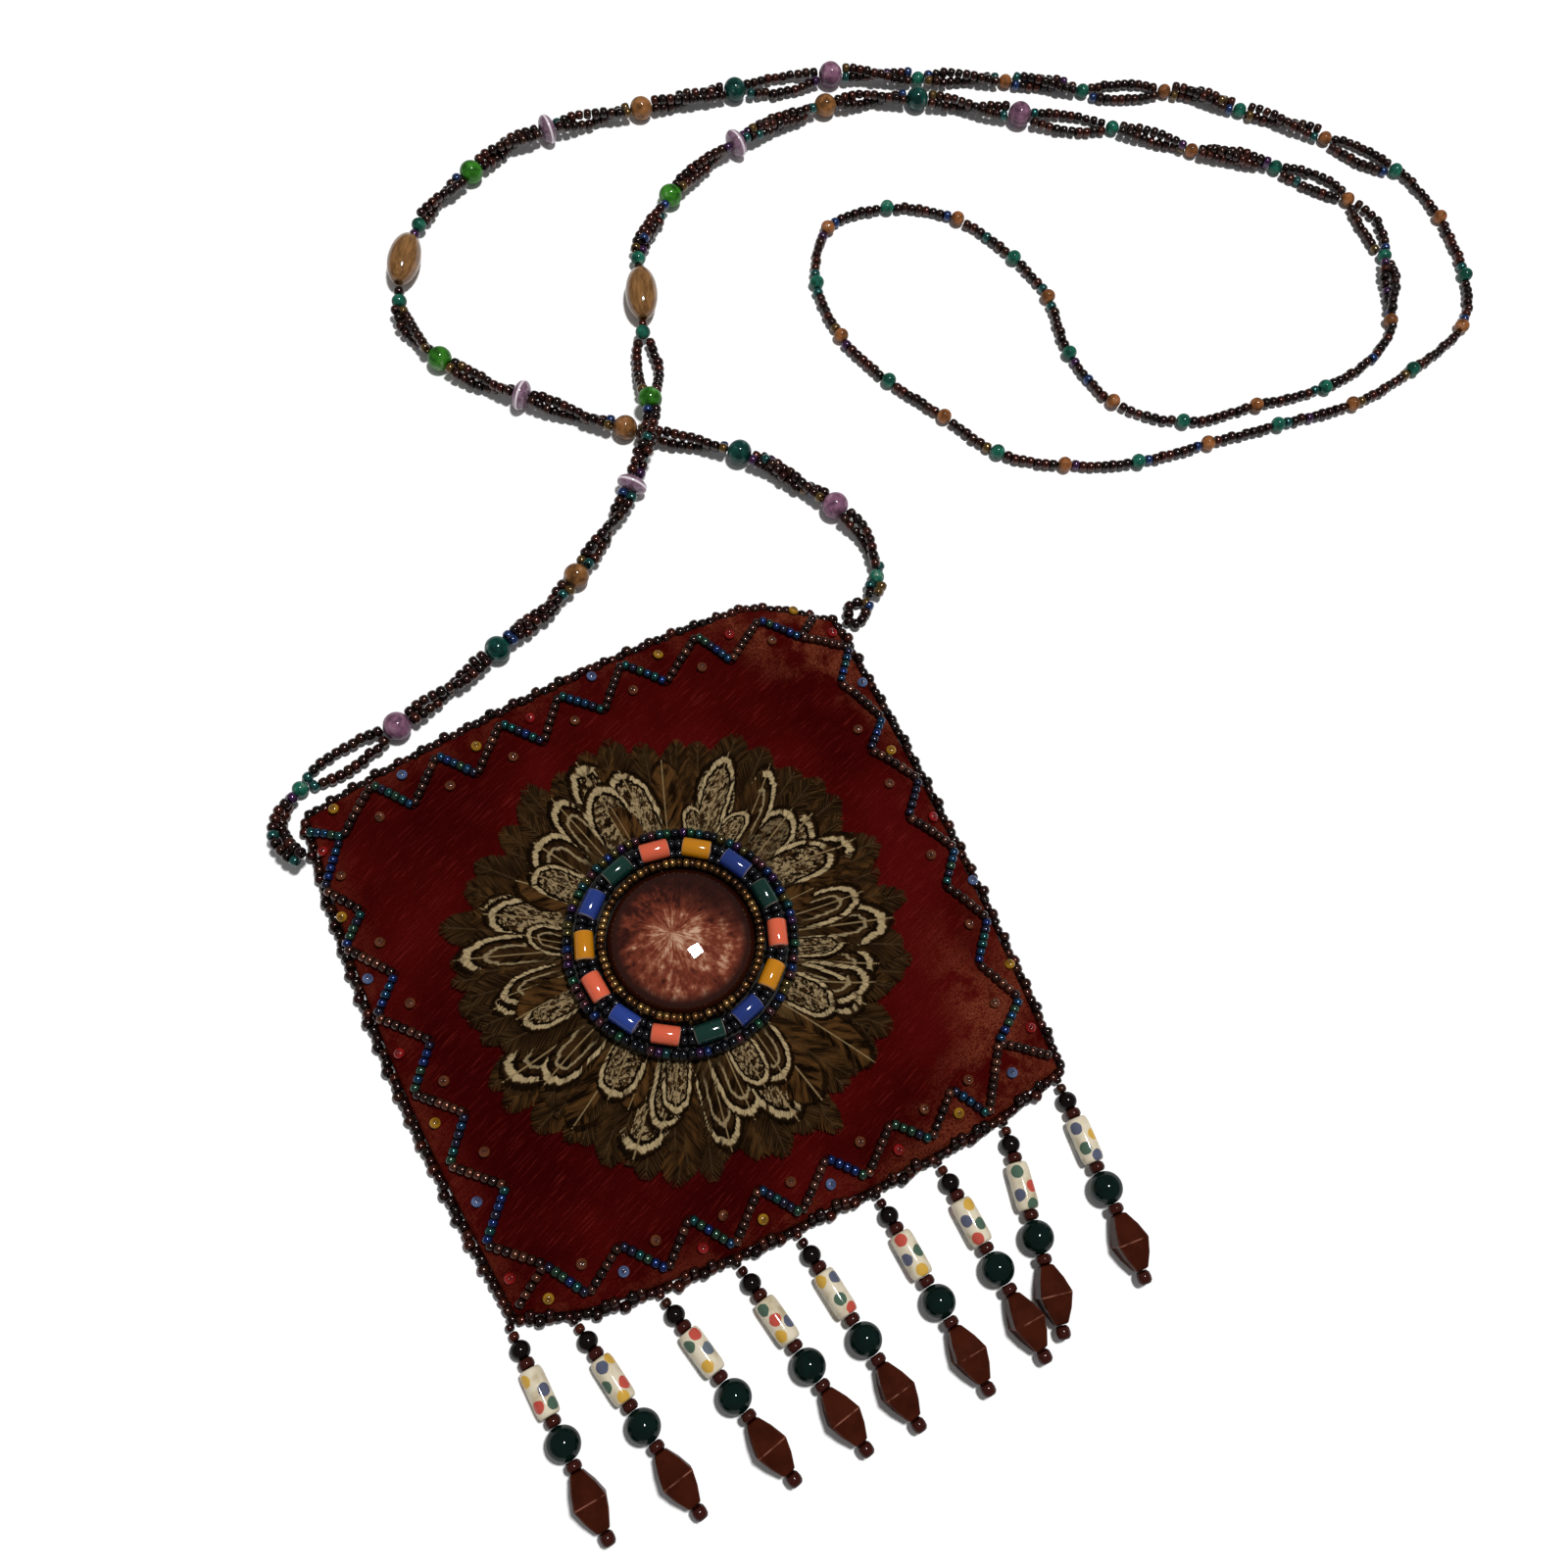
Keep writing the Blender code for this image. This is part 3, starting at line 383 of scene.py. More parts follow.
class Route:
    """A smooth line read by the distance along it."""

    def __init__(self, points):
        self.points = points
        steps = np.linalg.norm(np.diff(points, axis=0), axis=1)
        self.at = np.concatenate([[0.0], np.cumsum(steps)])
        self.length = self.at[-1]

    def point(self, distance):
        return np.array([np.interp(distance, self.at, self.points[:, k]) for k in range(3)])

    def heading(self, distance):
        ahead = self.point(min(distance + 0.8, self.length)) - self.point(max(distance - 0.8, 0.0))
        return ahead / np.linalg.norm(ahead)

    def nearest(self, x, y):
        return self.at[np.argmin(np.hypot(self.points[:, 0] - x, self.points[:, 1] - y))]


# Kinds of large bead: radius, half length along the strap, colour
KINDS = {
    "purple": (3.5, 3.3, (0.19, 0.085, 0.14)),
    "dark": (3.3, 3.1, (0.004, 0.05, 0.04)),
    "amber": (3.2, 3.1, (0.24, 0.1, 0.03)),
    "green": (3.2, 3.1, (0.03, 0.17, 0.012)),
    "disc": (4.0, 2.2, (0.22, 0.13, 0.2)),
    "oval": (4.3, 8.2, (0.27, 0.13, 0.04)),
    "teal": (2.0, 1.9, (0.01, 0.11, 0.07)),
    "brown": (2.0, 1.9, (0.24, 0.085, 0.025)),
}

# Large beads along each run, and how many strands reach the next one: e stands for an open eye
LEFT_BEADS = [
    ("teal", -67.5, 67.2, "e"), ("purple", -42.6, 74.4, "2"), ("dark", -13.7, 84.5, "3"), ("amber", 11.5, 96.2, "2"),
    ("disc", 34, 114.5, "3"), ("green", 47.3, 134.8, "e"), ("teal", 54.1, 156.7, "1"), ("oval", 57.7, 167.7, "1"),
    ("teal", 61.9, 178.9, "3"), ("green", 78.7, 195.1, "2"), ("disc", 102.7, 204.7, "3"), ("amber", 132, 209, "2"),
    ("dark", 157.9, 201.7, "2"), ("purple", 183.3, 186.3, "e"), ("teal", 208.2, 173.9, "2"),
    ("brown", 225.9, 158.4, "3"), ("teal", 246.3, 144.5, "e"), ("brown", 260.9, 126.8, "e"),
    ("teal", 260.6, 106.1, "2"), ("brown", 250.4, 86.5, "2"),
]
NECK_BEADS = [
    ("green", 221.7, 74.5), ("brown", 200.6, 75.5), ("green", 179.1, 79.1), ("brown", 164.1, 92),
    ("green", 159.8, 109.8), ("brown", 164.2, 128.5), ("green", 159.8, 143.5), ("brown", 150.8, 161.1),
    ("green", 134.1, 170.9), ("brown", 115.5, 171.4), ("green", 105.1, 155.6), ("brown", 104.2, 137.5),
    ("green", 109.9, 120.1), ("brown", 119, 104.7), ("green", 127.5, 89.6), ("brown", 142.7, 79.3),
    ("green", 161.6, 73.3), ("brown", 181.8, 72), ("green", 202.8, 70.2), ("brown", 225.7, 67.7),
    ("green", 247.9, 70.8), ("brown", 269, 77.6), ("green", 279.3, 91.9), ("brown", 283.4, 112.1),
]
RIGHT_BEADS = [
    ("teal", 280.4, 130.4, "e"), ("brown", 266.2, 148.5, "2"), ("teal", 247.1, 166.2, "3"),
    ("brown", 228.8, 180.3, "e"), ("teal", 204.8, 187, "3"), ("brown", 185.8, 199.8, "2"), ("teal", 162, 209.4, "2"),
    ("purple", 137.9, 218.4, "e"), ("dark", 110, 222.9, "3"), ("amber", 82.3, 225.7, "2"), ("disc", 54.9, 227.4, "3"),
    ("green", 30.3, 221.6, "2"), ("teal", 11.4, 210.2, "1"), ("oval", 4.4, 199.9, "1"), ("teal", -1.6, 188.7, "2"),
    ("green", 1, 167.8, "2"), ("disc", 17.6, 149.1, "2"), ("amber", 38.9, 131.1, "2"), ("dark", 63.6, 113.4, "3"),
    ("purple", 79.7, 89.9, "2"), ("teal", 81.9, 67.9, "2"),
]
SEED_RADIUS = 1.4
SEED_PITCH = 2.12
SEED_TINTS = [(0.011, 0.002, 0.001), (0.018, 0.003, 0.002), (0.042, 0.007, 0.003), (0.026, 0.007, 0.003), (0.008, 0.003, 0.002)]
SHIMMER = [(0.012, 0.03, 0.1), (0.008, 0.06, 0.055), (0.09, 0.05, 0.012), (0.04, 0.012, 0.05)]


def seed_tint():
    return SEED_TINTS[chance.integers(len(SEED_TINTS))]


def strand(beads, route, start, end, side, lift, open_by=0.0, turns=0.0, phase=0.0, shimmer=0.2):
    """Seeds along a route from start to end; a strand with turns winds round the route with its partner."""
    count = max(1, round((end - start) / SEED_PITCH))
    for k in range(count):
        share = (k + 0.5) / count
        distance = start + (end - start) * share
        here, ahead = route.point(distance), route.heading(distance)
        left = np.array([-ahead[1], ahead[0], 0.0])
        left /= np.linalg.norm(left)
        angle = phase + math.pi * turns * share
        tight = 0.8 + 0.2 * math.sin(math.pi * share)
        out = side * tight * math.cos(angle) + side * open_by * math.sin(math.pi * share) ** 0.7
        up = lift + (abs(side) + side * math.sin(angle)) * tight if turns else lift
        slope = side * open_by * math.cos(math.pi * share) * 2.2 / max(end - start, 6.0)
        slope -= side * turns * math.pi * math.sin(angle) / max(end - start, 6.0)
        centre = here + left * (out + chance.normal(0, 0.15)) + np.array([0, 0, up])
        centre[2] = max(centre[2], SEED_RADIUS + 0.04)
        near_end = min(k, count - 1 - k) < 1 and chance.random() < shimmer * 2.5
        tint = SHIMMER[chance.integers(len(SHIMMER))] if near_end or chance.random() < 0.02 else seed_tint()
        beads.add(centre, ahead + left * slope, SEED_RADIUS * chance.normal(1, 0.05), SEED_PITCH * 0.49, tint, 0.12)


def strap_run(name, stops, listed, node, base, single, gems, marks):
    """One run of the strap: its seeds as a cord, and its large beads."""
    route = Route(smooth_route([(x, y, z) for x, y, z in stops], 0.6))
    large = sorted((route.nearest(item[1], item[2]), *item) for item in listed)
    seeds, stones, discs = Beads(), Beads(BALL), Beads(BALL)
    ends = [(0.0, 0.0, "1" if single else "2")]
    for distance, kind, _, _, *strands in large:
        if single and kind == "green":
            kind = "teal"
        radius, half, colour = KINDS[kind]
        centre = route.point(distance)
        centre[2] = max(centre[2], radius + 0.05)
        colour = np.array(colour) * chance.uniform(0.85, 1.15)
        kept = discs if kind in ("disc", "oval") else stones
        kept.add(centre, route.heading(distance), radius, half, colour)
        ends.append((distance, half, strands[0] if strands else "1"))
    ends.append((route.length, 0.0, ""))
    for (start, before, count), (end, after, _) in zip(ends, ends[1:]):
        start, end = start + before + 0.1, end - after - 0.1
        if end - start < SEED_PITCH * 0.6:
            continue
        lift = SEED_RADIUS - base + 0.1
        if count == "1":
            strand(seeds, route, start, end, 0.0, lift)
        elif count == "e":
            strand(seeds, route, start, end, 1.4, lift, open_by=1.1)
            strand(seeds, route, start, end, -1.4, lift, open_by=0.9)
        else:
            turns, phase = (end - start) / 21 * chance.uniform(0.8, 1.3), chance.uniform(-0.7, 0.3)
            strand(seeds, route, start, end, 1.35, lift, turns=turns, phase=phase)
            strand(seeds, route, start, end, -1.35, lift, turns=turns, phase=phase)
            if count == "3":
                strand(seeds, route, start + 3.0, end - 3.0, 1.5, lift, turns=turns, phase=phase + 1.6)
    cord = seeds.build(name + "_beads", STRAP_GLASS, others=[(stones, gems), (discs, marks)])
    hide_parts(node)
    path = route.points[::3] if len(route.points) % 3 == 1 else np.vstack([route.points[::3], route.points[-1:]])
    path = path + np.array([0, 0, SEED_RADIUS - base + 0.1])
    return cord


def seed_finish(name, roughness, metallic, coat):
    """Glass seed beads that take their colour from each bead's own tint, with painted shade towards each bead's two
    ends.
    """
    finish = Finish(name, Roughness=roughness, Metallic=metallic, Coat_Weight=coat, Coat_Roughness=0.1)
    finish.set("Specular IOR Level", 0.0)
    tint = finish.attribute("tint", "Color")
    along = finish.attribute("along")
    # Painted shade: each seed darkens towards the two ends of its hole, where it meets its neighbours.
    rim = finish.step(along * along, 0.35, 1.0)
    finish.set("Base Color", finish.mix(rim, tint, finish.times(tint, (0.35, 0.3, 0.3))))
    finish.bump(finish.noise(finish.coords(), 1400.0), 0.00005)
    return finish


def gem_finish():
    """Polished round stones with cloudy depth."""
    finish = Finish("polished_beads", Roughness=0.5, Coat_Weight=0.5, Coat_Roughness=0.06)
    finish.set("Specular IOR Level", 0.0)
    tint = finish.attribute("tint", "Color")
    cloud = finish.noise(finish.coords(), 420.0, 3.0, 0.6)
    shade = finish.times(tint, (0.35, 0.35, 0.35))
    light = finish.mix(0.25, tint, (0.9, 0.8, 0.7))
    body = finish.mix(finish.step(cloud, 0.35, 0.62), shade, tint)
    finish.set("Base Color", finish.mix(finish.step(cloud, 0.6, 0.75) * 0.6, body, light))
    return finish


def marked_finish():
    """Discs with a pale line round their middle, and ovals of streaked amber stone."""
    finish = Finish("disc_and_oval_beads", Roughness=0.5, Coat_Weight=1.0, Coat_Roughness=0.1)
    finish.set("Specular IOR Level", 0.0)
    tint, along = finish.attribute("tint", "Color"), finish.attribute("along")
    across, above = finish.attribute("across"), finish.attribute("above")
    lilac = finish.split(tint)[2].math("GREATER_THAN", 0.1)
    line = finish.step(along.math("ABSOLUTE"), 0.2, 0.06) * lilac
    streaks = finish.noise(finish.join(across * 2.5, above * 2.5, along * 1.2), 1.6, 4.0, 0.65)
    stone = finish.mix(finish.step(streaks, 0.35, 0.7), finish.times(tint, (0.45, 0.4, 0.35)), tint)
    finish.set("Base Color", finish.mix(line * 0.75, stone, (0.8, 0.72, 0.76)))
    return finish


make_camera()
STRAP_GLASS = seed_finish("strap_seed_glass", 0.2, 0.5, 0.7)
GEMS = gem_finish()
MARKS = marked_finish()
strap_run("strap_left", LEFT_STRAP, LEFT_BEADS, "strap_left", 2.1, False, GEMS, MARKS)
strap_run("strap_neck", NECK_STRAP, NECK_BEADS, "strap_neck", 1.6, True, GEMS, MARKS)
strap_run("strap_right", RIGHT_STRAP, RIGHT_BEADS, "strap_right", 2.1, False, GEMS, MARKS)


def corner_loop():
    """The small ring of seeds that ties the strap's right end to the pouch."""
    stops = np.array(CORNER_LOOP + CORNER_LOOP[:1], float)
    route = Route(smooth_route(stops, 0.5))
    beads = Beads()
    strand(beads, route, 0.0, route.length, 0.0, -0.2)
    piece = beads.build("corner_loop_seeds", STRAP_GLASS)
    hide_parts("corner_loop")


corner_loop()


# The pouch

# Apexes of the zigzag, clockwise from the left end of the mouth, as sewn
MOUTH_OUTER = [(-52.7, 61), (-36.5, 61.7), (-20.1, 63.5), (-5, 65.2), (11.8, 67), (31.4, 67.2), (47.5, 65.8), (61.4, 62.6)]
MOUTH_INNER = [(-45.6, 52.6), (-29.4, 54), (-12.4, 55.4), (3.7, 57.5), (20.1, 58.8), (36.9, 58.3), (55.7, 58.5)]
RIGHT_OUTER = [(66.4, 52.2), (65.7, 31.8), (67.1, 14.1), (67.4, -5), (66.9, -23.4), (65.2, -43.3)]
RIGHT_INNER = [(60, 44), (59.1, 25), (60.4, 6.2), (61.2, -12.5), (60, -32.3), (55.9, -50.6)]
FOOT_OUTER = [(46.7, -64.2), (32.3, -63.9), (15.8, -65.4), (-0.7, -66.6), (-16.6, -67.0), (-31.6, -65.6), (-48.9, -63.5)]
FOOT_INNER = [(41.4, -55.6), (25.3, -57), (9.1, -58.1), (-7.2, -58.1), (-23.4, -57.7), (-39.1, -56.8), (-55.1, -54)]
LEFT_OUTER = [(-65, -45.2), (-66.3, -26.7), (-68.1, -9.1), (-69.8, 10), (-71.1, 27.8), (-71.0, 42.6)]
LEFT_INNER = [(-56.7, -35.7), (-59.2, -17.8), (-60.5, 0), (-62.8, 17.4), (-64.8, 34.3), (-63.8, 52.4)]
STITCHES = np.array(MOUTH_INNER + RIGHT_INNER + FOOT_INNER + LEFT_INNER)

# Single seeds sewn between the zigzag's legs: x, y as seen 3 mm up, and a letter for the colour
OUTER_SINGLES = [
    (-62.9, 60.7, "a"), (-45.6, 62.8, "p"), (-27.1, 63.0, "a"), (-12.8, 65.0, "r"), (4.9, 69.5, "p"),
    (22.1, 68.7, "a"), (40.5, 67.1, "r"), (58.1, 67.3, "a"), (64.5, 58.0, "r"), (65.7, 42.8, "p"), (64.5, 23.8, "a"),
    (66.5, 4.4, "r"), (68.4, -13.4, "p"), (67.3, -35.0, "a"), (65.0, -50.3, "r"), (56.3, -57.8, "p"),
    (41.1, -61.0, "a"), (25.0, -62.8, "r"), (8.0, -63.5, "p"), (-8.7, -64.3, "a"), (-23.0, -64.5, "r"),
    (-40.4, -62.1, "p"), (-57.0, -60.7, "a"), (-63.0, -53.6, "r"), (-63.8, -35.9, "p"), (-66.2, -16.6, "a"),
    (-68.2, 0.9, "r"), (-68.9, 19.5, "p"), (-69.6, 35.4, "a"), (-68.5, 52.0, "r"),
]
INNER_SINGLES = [
    (-53.8, 54.8), (-36.2, 56.1), (-20, 57), (-3.1, 60.3), (12.8, 62.2), (30.8, 61.7), (49.6, 61.6), (59.3, 31.9),
    (60.4, 16.2), (61.9, -3.9), (62.9, -22.7), (59.6, -41.9), (46.4, -55.2), (34.2, -57.1), (17.8, -57.8),
    (0.1, -59.5), (-16.3, -60), (-31.7, -58.9), (-48, -57), (-58.6, -26.7), (-61.3, -8.8), (-62.2, 10.6),
    (-63.7, 26.5), (-66.6, 44.9),
]
SINGLE_TINTS = {"a": (0.26, 0.13, 0.008), "p": (0.07, 0.1, 0.2), "r": (0.2, 0.006, 0.006), "c": (0.1, 0.028, 0.01)}


def relief(x, y):
    """How far the velvet stands off its smooth form: stitch dents, a fold and slow waves."""
    x, y = np.asarray(x, float), np.asarray(y, float)
    off = np.zeros_like(x)
    for sx, sy in STITCHES:
        off -= 0.75 * np.exp(-((x - sx) ** 2 + (y - sy) ** 2) / 9.0)
    for length, angle, phase, size in ((31, 0.4, 1.0, 0.22), (19, 1.9, 2.2, 0.16), (13, 2.8, 0.3, 0.1), (9, 1.2, 4.0, 0.06)):
        off += size * np.sin(2 * math.pi * (x * math.cos(angle) + y * math.sin(angle)) / length + phase)
    far = (x - 57.5 + 0.12 * (y + 38)) / 2.2
    off += 0.9 * np.exp(-far * far) * np.exp(-(((y + 36) / 16) ** 2)) - 0.6 * np.exp(-((far - 2.2) ** 2)) * np.exp(
        -(((y + 36) / 14) ** 2)
    )
    from_rosette = np.hypot(x - ROSETTE[0], y - ROSETTE[1])
    return off * np.clip((from_rosette - 44) / 10, 0, 1)


def surface(x, y):
    return front_height(x, y) + float(relief(x, y))


def eased(count):
    return 0.5 - 0.5 * np.cos(np.pi * np.linspace(0, 1, count))


def velvet_sheet(name, node, finish, front):
    """One panel as a closed sheet of cloth whose edges are turned under."""
    count = 120
    steps = eased(count)
    top, under, border = [], [], []
    for up in steps:
        for across in steps:
            x, y = pouch_point(across, up)
            from_edge = 136 * min(across, 1 - across, up, 1 - up)
            round_off = math.sqrt(max(0.0, 1 - (1 - min(from_edge / 1.6, 1.0)) ** 2))
            inward = 0.25 * (1 - round_off)
            x -= inward * math.copysign(1, across - 0.5) * (abs(across - 0.5) > 0.49)
            if front:
                base = SEAM_HEIGHT + pocket_height(across, up)
                crest = base + 0.15 + (PANEL_THICKNESS - 0.15) * round_off
                border.append(from_edge)
                top.append((x, y, crest + float(relief(x, y)) * min(from_edge / 5, 1)))
                under.append((x, y, base + 0.1))
            else:
                border.append(from_edge)
                top.append((x, y, PANEL_THICKNESS - 0.1))
                under.append((x, y, 0.03 + (PANEL_THICKNESS - 0.2) * (1 - round_off)))
    size = count * count
    faces = []
    for j in range(count - 1):
        for i in range(count - 1):
            a = j * count + i
            faces.append((a, a + 1, a + count + 1, a + count))
            faces.append((size + a, size + a + count, size + a + count + 1, size + a + 1))
    edge = [i for i in range(count)] + [j * count + count - 1 for j in range(1, count)]
    edge += [size - 1 - i for i in range(1, count)] + [j * count for j in range(count - 2, 0, -1)]
    for first, second in zip(edge, edge[1:] + edge[:1]):
        faces.append((first, size + first, size + second, second))
    piece = add_piece(name, top + under, faces, finish, point_data={"border": border + border})
    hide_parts(node)
    return piece


def velvet(name, brushed):
    """Dark red velvet: pile streaks, orange-brown places where the pile is brushed the other way, and a lighter band at
    the rolled edges that is partly splayed pile and partly painted sheen.
    """
    finish = Finish(name, Roughness=0.9)
    finish.set("Specular IOR Level", 0.0)
    place = finish.coords()
    x, y, _ = finish.split(place)
    broad = finish.noise(place, 28.0, 3.0, 0.55)
    streaks = finish.noise(finish.join(x * 900.0 - y * 2100.0, x * 130.0 + y * 60.0), 1.0, 3.0, 0.6)
    grain = finish.noise(place, 2600.0, 2.0, 0.6)
    deep = finish.mix(finish.step(broad, 0.3, 0.75), (0.022, 0.0005, 0.0006), (0.052, 0.0022, 0.002))
    deep = finish.mix(finish.step(streaks, 0.52, 0.8) * 0.65, deep, (0.12, 0.012, 0.009))
    colour = finish.mix(finish.step(grain, 0.35, 0.7) * 0.45, deep, finish.times(deep, (1.9, 1.9, 1.9)))
    wear_and_highlight = finish.noise(place, 120.0, 4.0, 0.7)
    # Lighter orange-brown band at the rolled edges, mottled by noise: partly splayed, worn pile and partly painted
    # sheen where the cloth turns under.
    border = finish.step(finish.attribute("border") + wear_and_highlight * 9.0, 14.0, 4.0) * finish.step(wear_and_highlight, 0.35, 0.6)
    mottle = finish.step(grain * 0.5 + wear_and_highlight * 0.5, 0.44, 0.56)
    colour = finish.mix(border * (mottle * 0.6 + 0.15), colour, (0.1, 0.016, 0.008))
    if brushed:
        rough = finish.noise(place, 95.0, 4.0, 0.65)
        right = finish.step(x + rough * 0.02 + finish.noise(finish.join(y, 0.0), 70.0) * 0.012, 0.083, 0.1)
        fold_x = (x - 0.0555 + (y + 0.038) * 0.12) * 170.0
        fold_y = (y + 0.042) * 66.0
        fold = (fold_x * fold_x + fold_y * fold_y).math("MULTIPLY", -1.0).math("EXPONENT")
        corner = finish.step(x * 0.9 + y * 0.75 + rough * 0.02, 0.086, 0.104)
        foot = finish.step(x * 0.8 - y + rough * 0.02, 0.088, 0.104)
        share = (fold * 0.9 + right + corner + foot * 0.6).math("MINIMUM", 1.0) * finish.step(rough, 0.42, 0.58)
        colour = finish.mix(share * finish.step(grain, 0.3, 0.65) * 0.85, colour, (0.17, 0.04, 0.018))
    finish.set("Base Color", colour)
    finish.bump(grain * 0.6 + streaks * 0.4 + broad * 0.5, 0.0007)
    return finish


def sewn(x, y):
    """A place sewn on the front that was read 3 mm up, at its true height."""
    off = front_height(x, y) + 1.0 - 3.0
    return x - off * (x + 40) / 355, y - off * (y + 80) / 355


def edge_beads(finish):
    """Seeds along the pouch's edge; every third one stands out from the row."""
    beads = Beads()
    runs = []
    for up, order in ((1.0, eased(50)), (0.0, eased(50)[::-1])):
        runs.append([(across, up) for across in order])
    sides = [[(1.0, up) for up in np.linspace(1, 0, 50)], [(0.0, up) for up in np.linspace(0, 1, 50)]]
    loop = runs[0] + sides[0][1:-1] + runs[1] + sides[1][1:-1]
    plan = np.array([pouch_point(across, up) for across, up in loop])
    ahead = np.roll(plan, -1, 0) - np.roll(plan, 1, 0)
    out = np.column_stack([-ahead[:, 1], ahead[:, 0]]) / np.linalg.norm(ahead, axis=1)[:, None]
    heights = [1.65 + (pocket_height(a, u) * 6.1 / 5.2 if u == 1.0 else 0.0) for a, u in loop]
    offset = np.array([{1.0: 0.15, 0.0: 0.95}.get(up, 0.8) for _, up in loop])
    line = np.column_stack([plan + out * offset[:, None], heights])
    route = Route(np.vstack([line, line[:1]]))
    count = round(route.length / 2.0)
    for k in range(count):
        distance = route.length * (k + 0.5) / count
        here, heading = route.point(distance), route.heading(distance)
        away = np.array([-heading[1], heading[0], 0.0])
        lifted = k % 3 == 0
        foot = here[1] < -55
        # Beside a string's hook the row stays low, so that the string swings freely
        hung = foot and min(abs(here[0] - x) for x, _ in FRINGE_HOOKS) < 3.4
        here = here + away * (0 if hung else (0.6 if lifted else -0.05) + chance.normal(0, 0.12))
        here[2] = 1.75 if hung else max(here[2] + chance.normal(0, 0.2) + (0.5 if foot and k % 2 else 0), 1.35)
        axis = heading + away * chance.normal(0, 0.35) + np.array([0, 0, chance.normal(0, 0.35)]) * (not hung)
        beads.add(here, axis, 1.15 if hung else 1.36 * chance.normal(1, 0.05), 1.06, seed_tint(), 0.05)
        if foot and not hung and k % 3:
            beads.add(here + away * -0.9 + np.array([0, 0, 1.0]), axis, 1.2, 0.95, seed_tint(), 0.2)
    for x, y in FRINGE_HOOKS:
        beads.add((x, y - 0.3, 1.75), (0, 1, 0), 1.0, 0.8, seed_tint())
    piece = beads.build("edge_seeds", finish)
    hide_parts("edge_beading")


BLUE_LEG = [(0.006, 0.02, 0.1), (0.006, 0.035, 0.08), (0.006, 0.05, 0.05), (0.02, 0.05, 0.03), (0.012, 0.012, 0.03)]
BRONZE_LEG = [(0.05, 0.016, 0.01), (0.03, 0.01, 0.006), (0.09, 0.03, 0.016), (0.02, 0.008, 0.006)]


def leg(beads, first, last, tints, count):
    start, end = (np.array([*p, surface(*p) + 1.0]) for p in (first, last))
    for k in range(count):
        share = (k + 0.6) / (count + 0.2)
        x, y = start[:2] + (end[:2] - start[:2]) * share
        place = (x, y, surface(x, y) + 1.0)
        tint = tints[chance.integers(len(tints))]
        beads.add(place, end - start, 1.12 * chance.normal(1, 0.04), 0.92, tint, 0.1)


def zigzag(finish):
    """The zigzag of sewn seeds: blue legs and bronze legs take turns."""
    beads = Beads()
    corners = {"top": (-62.9, 52.5)}
    mouth = [corners["top"], *[p for pair in zip(MOUTH_OUTER, MOUTH_INNER) for p in pair], (61.4, 62.6)]
    right = [MOUTH_INNER[-1], *[p for pair in zip(RIGHT_OUTER, RIGHT_INNER) for p in pair]]
    foot = [RIGHT_INNER[-1], *[p for pair in zip(FOOT_OUTER, FOOT_INNER) for p in pair]]
    left = [FOOT_INNER[-1], *[p for pair in zip(LEFT_OUTER, LEFT_INNER) for p in pair]]
    for line, first_blue in ((mouth, False), (right, False), (foot, False), (left, False)):
        for k, (first, last) in enumerate(zip(line, line[1:])):
            length = math.dist(first, last)
            blue = (k % 2 == 1) != first_blue
            tints = BLUE_LEG if blue else BRONZE_LEG
            leg(beads, first, last, tints, max(3, round(length / 1.9)))
    for first, last, tints in (
        ((-62.9, 52.5), (-70.2, 57.4), BLUE_LEG), ((55.9, -50.6), (65.9, -58.1), BRONZE_LEG),
        ((-55.1, -54.0), (-63.6, -60.0), BRONZE_LEG),
    ):
        leg(beads, first, last, tints, round(math.dist(first, last) / 1.9))
    piece = beads.build("zigzag_seeds", finish)
    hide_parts("zigzag_beading")


def single_seeds(finish, thread):
    """Seeds sewn flat between the legs, and the red knots at the inner apexes."""
    beads, knots = Beads(BALL), Beads(BALL)
    listed = OUTER_SINGLES + [(x, y, "c") for x, y in INNER_SINGLES]
    for x, y, letter in listed:
        x, y = sewn(x, y)
        beads.add((x, y, surface(x, y) + 0.7), (0.1, 0.1, 1), 1.25, 0.95, SINGLE_TINTS[letter], 0.25)
    for x, y in STITCHES:
        knots.add((x, y, surface(x, y) + 0.25), (1, 0.4, 0), 0.7, 0.9, (0.02, 0.002, 0.002), 0.2)
    beads.build("single_seeds", finish)
    knots.build("thread_knots", thread)


VELVET_FRONT = velvet("front_velvet", True)
VELVET_BACK = velvet("back_velvet", False)
front_sheet = velvet_sheet("front_velvet", "front_panel", VELVET_FRONT, True)
back_sheet = velvet_sheet("back_velvet", "back_panel", VELVET_BACK, False)
DARK_SEEDS = seed_finish("dark_seed_glass", 0.2, 0.5, 0.6)
LUSTRE_SEEDS = seed_finish("lustre_seed_glass", 0.2, 0.7, 0.6)
CLEAR_SEEDS = seed_finish("clear_seed_glass", 0.2, 0.0, 0.8)
THREAD = seed_finish("red_thread", 0.7, 0.0, 0.0)
edge_beads(DARK_SEEDS)
zigzag(LUSTRE_SEEDS)
single_seeds(CLEAR_SEEDS, THREAD)


# The feather rosette


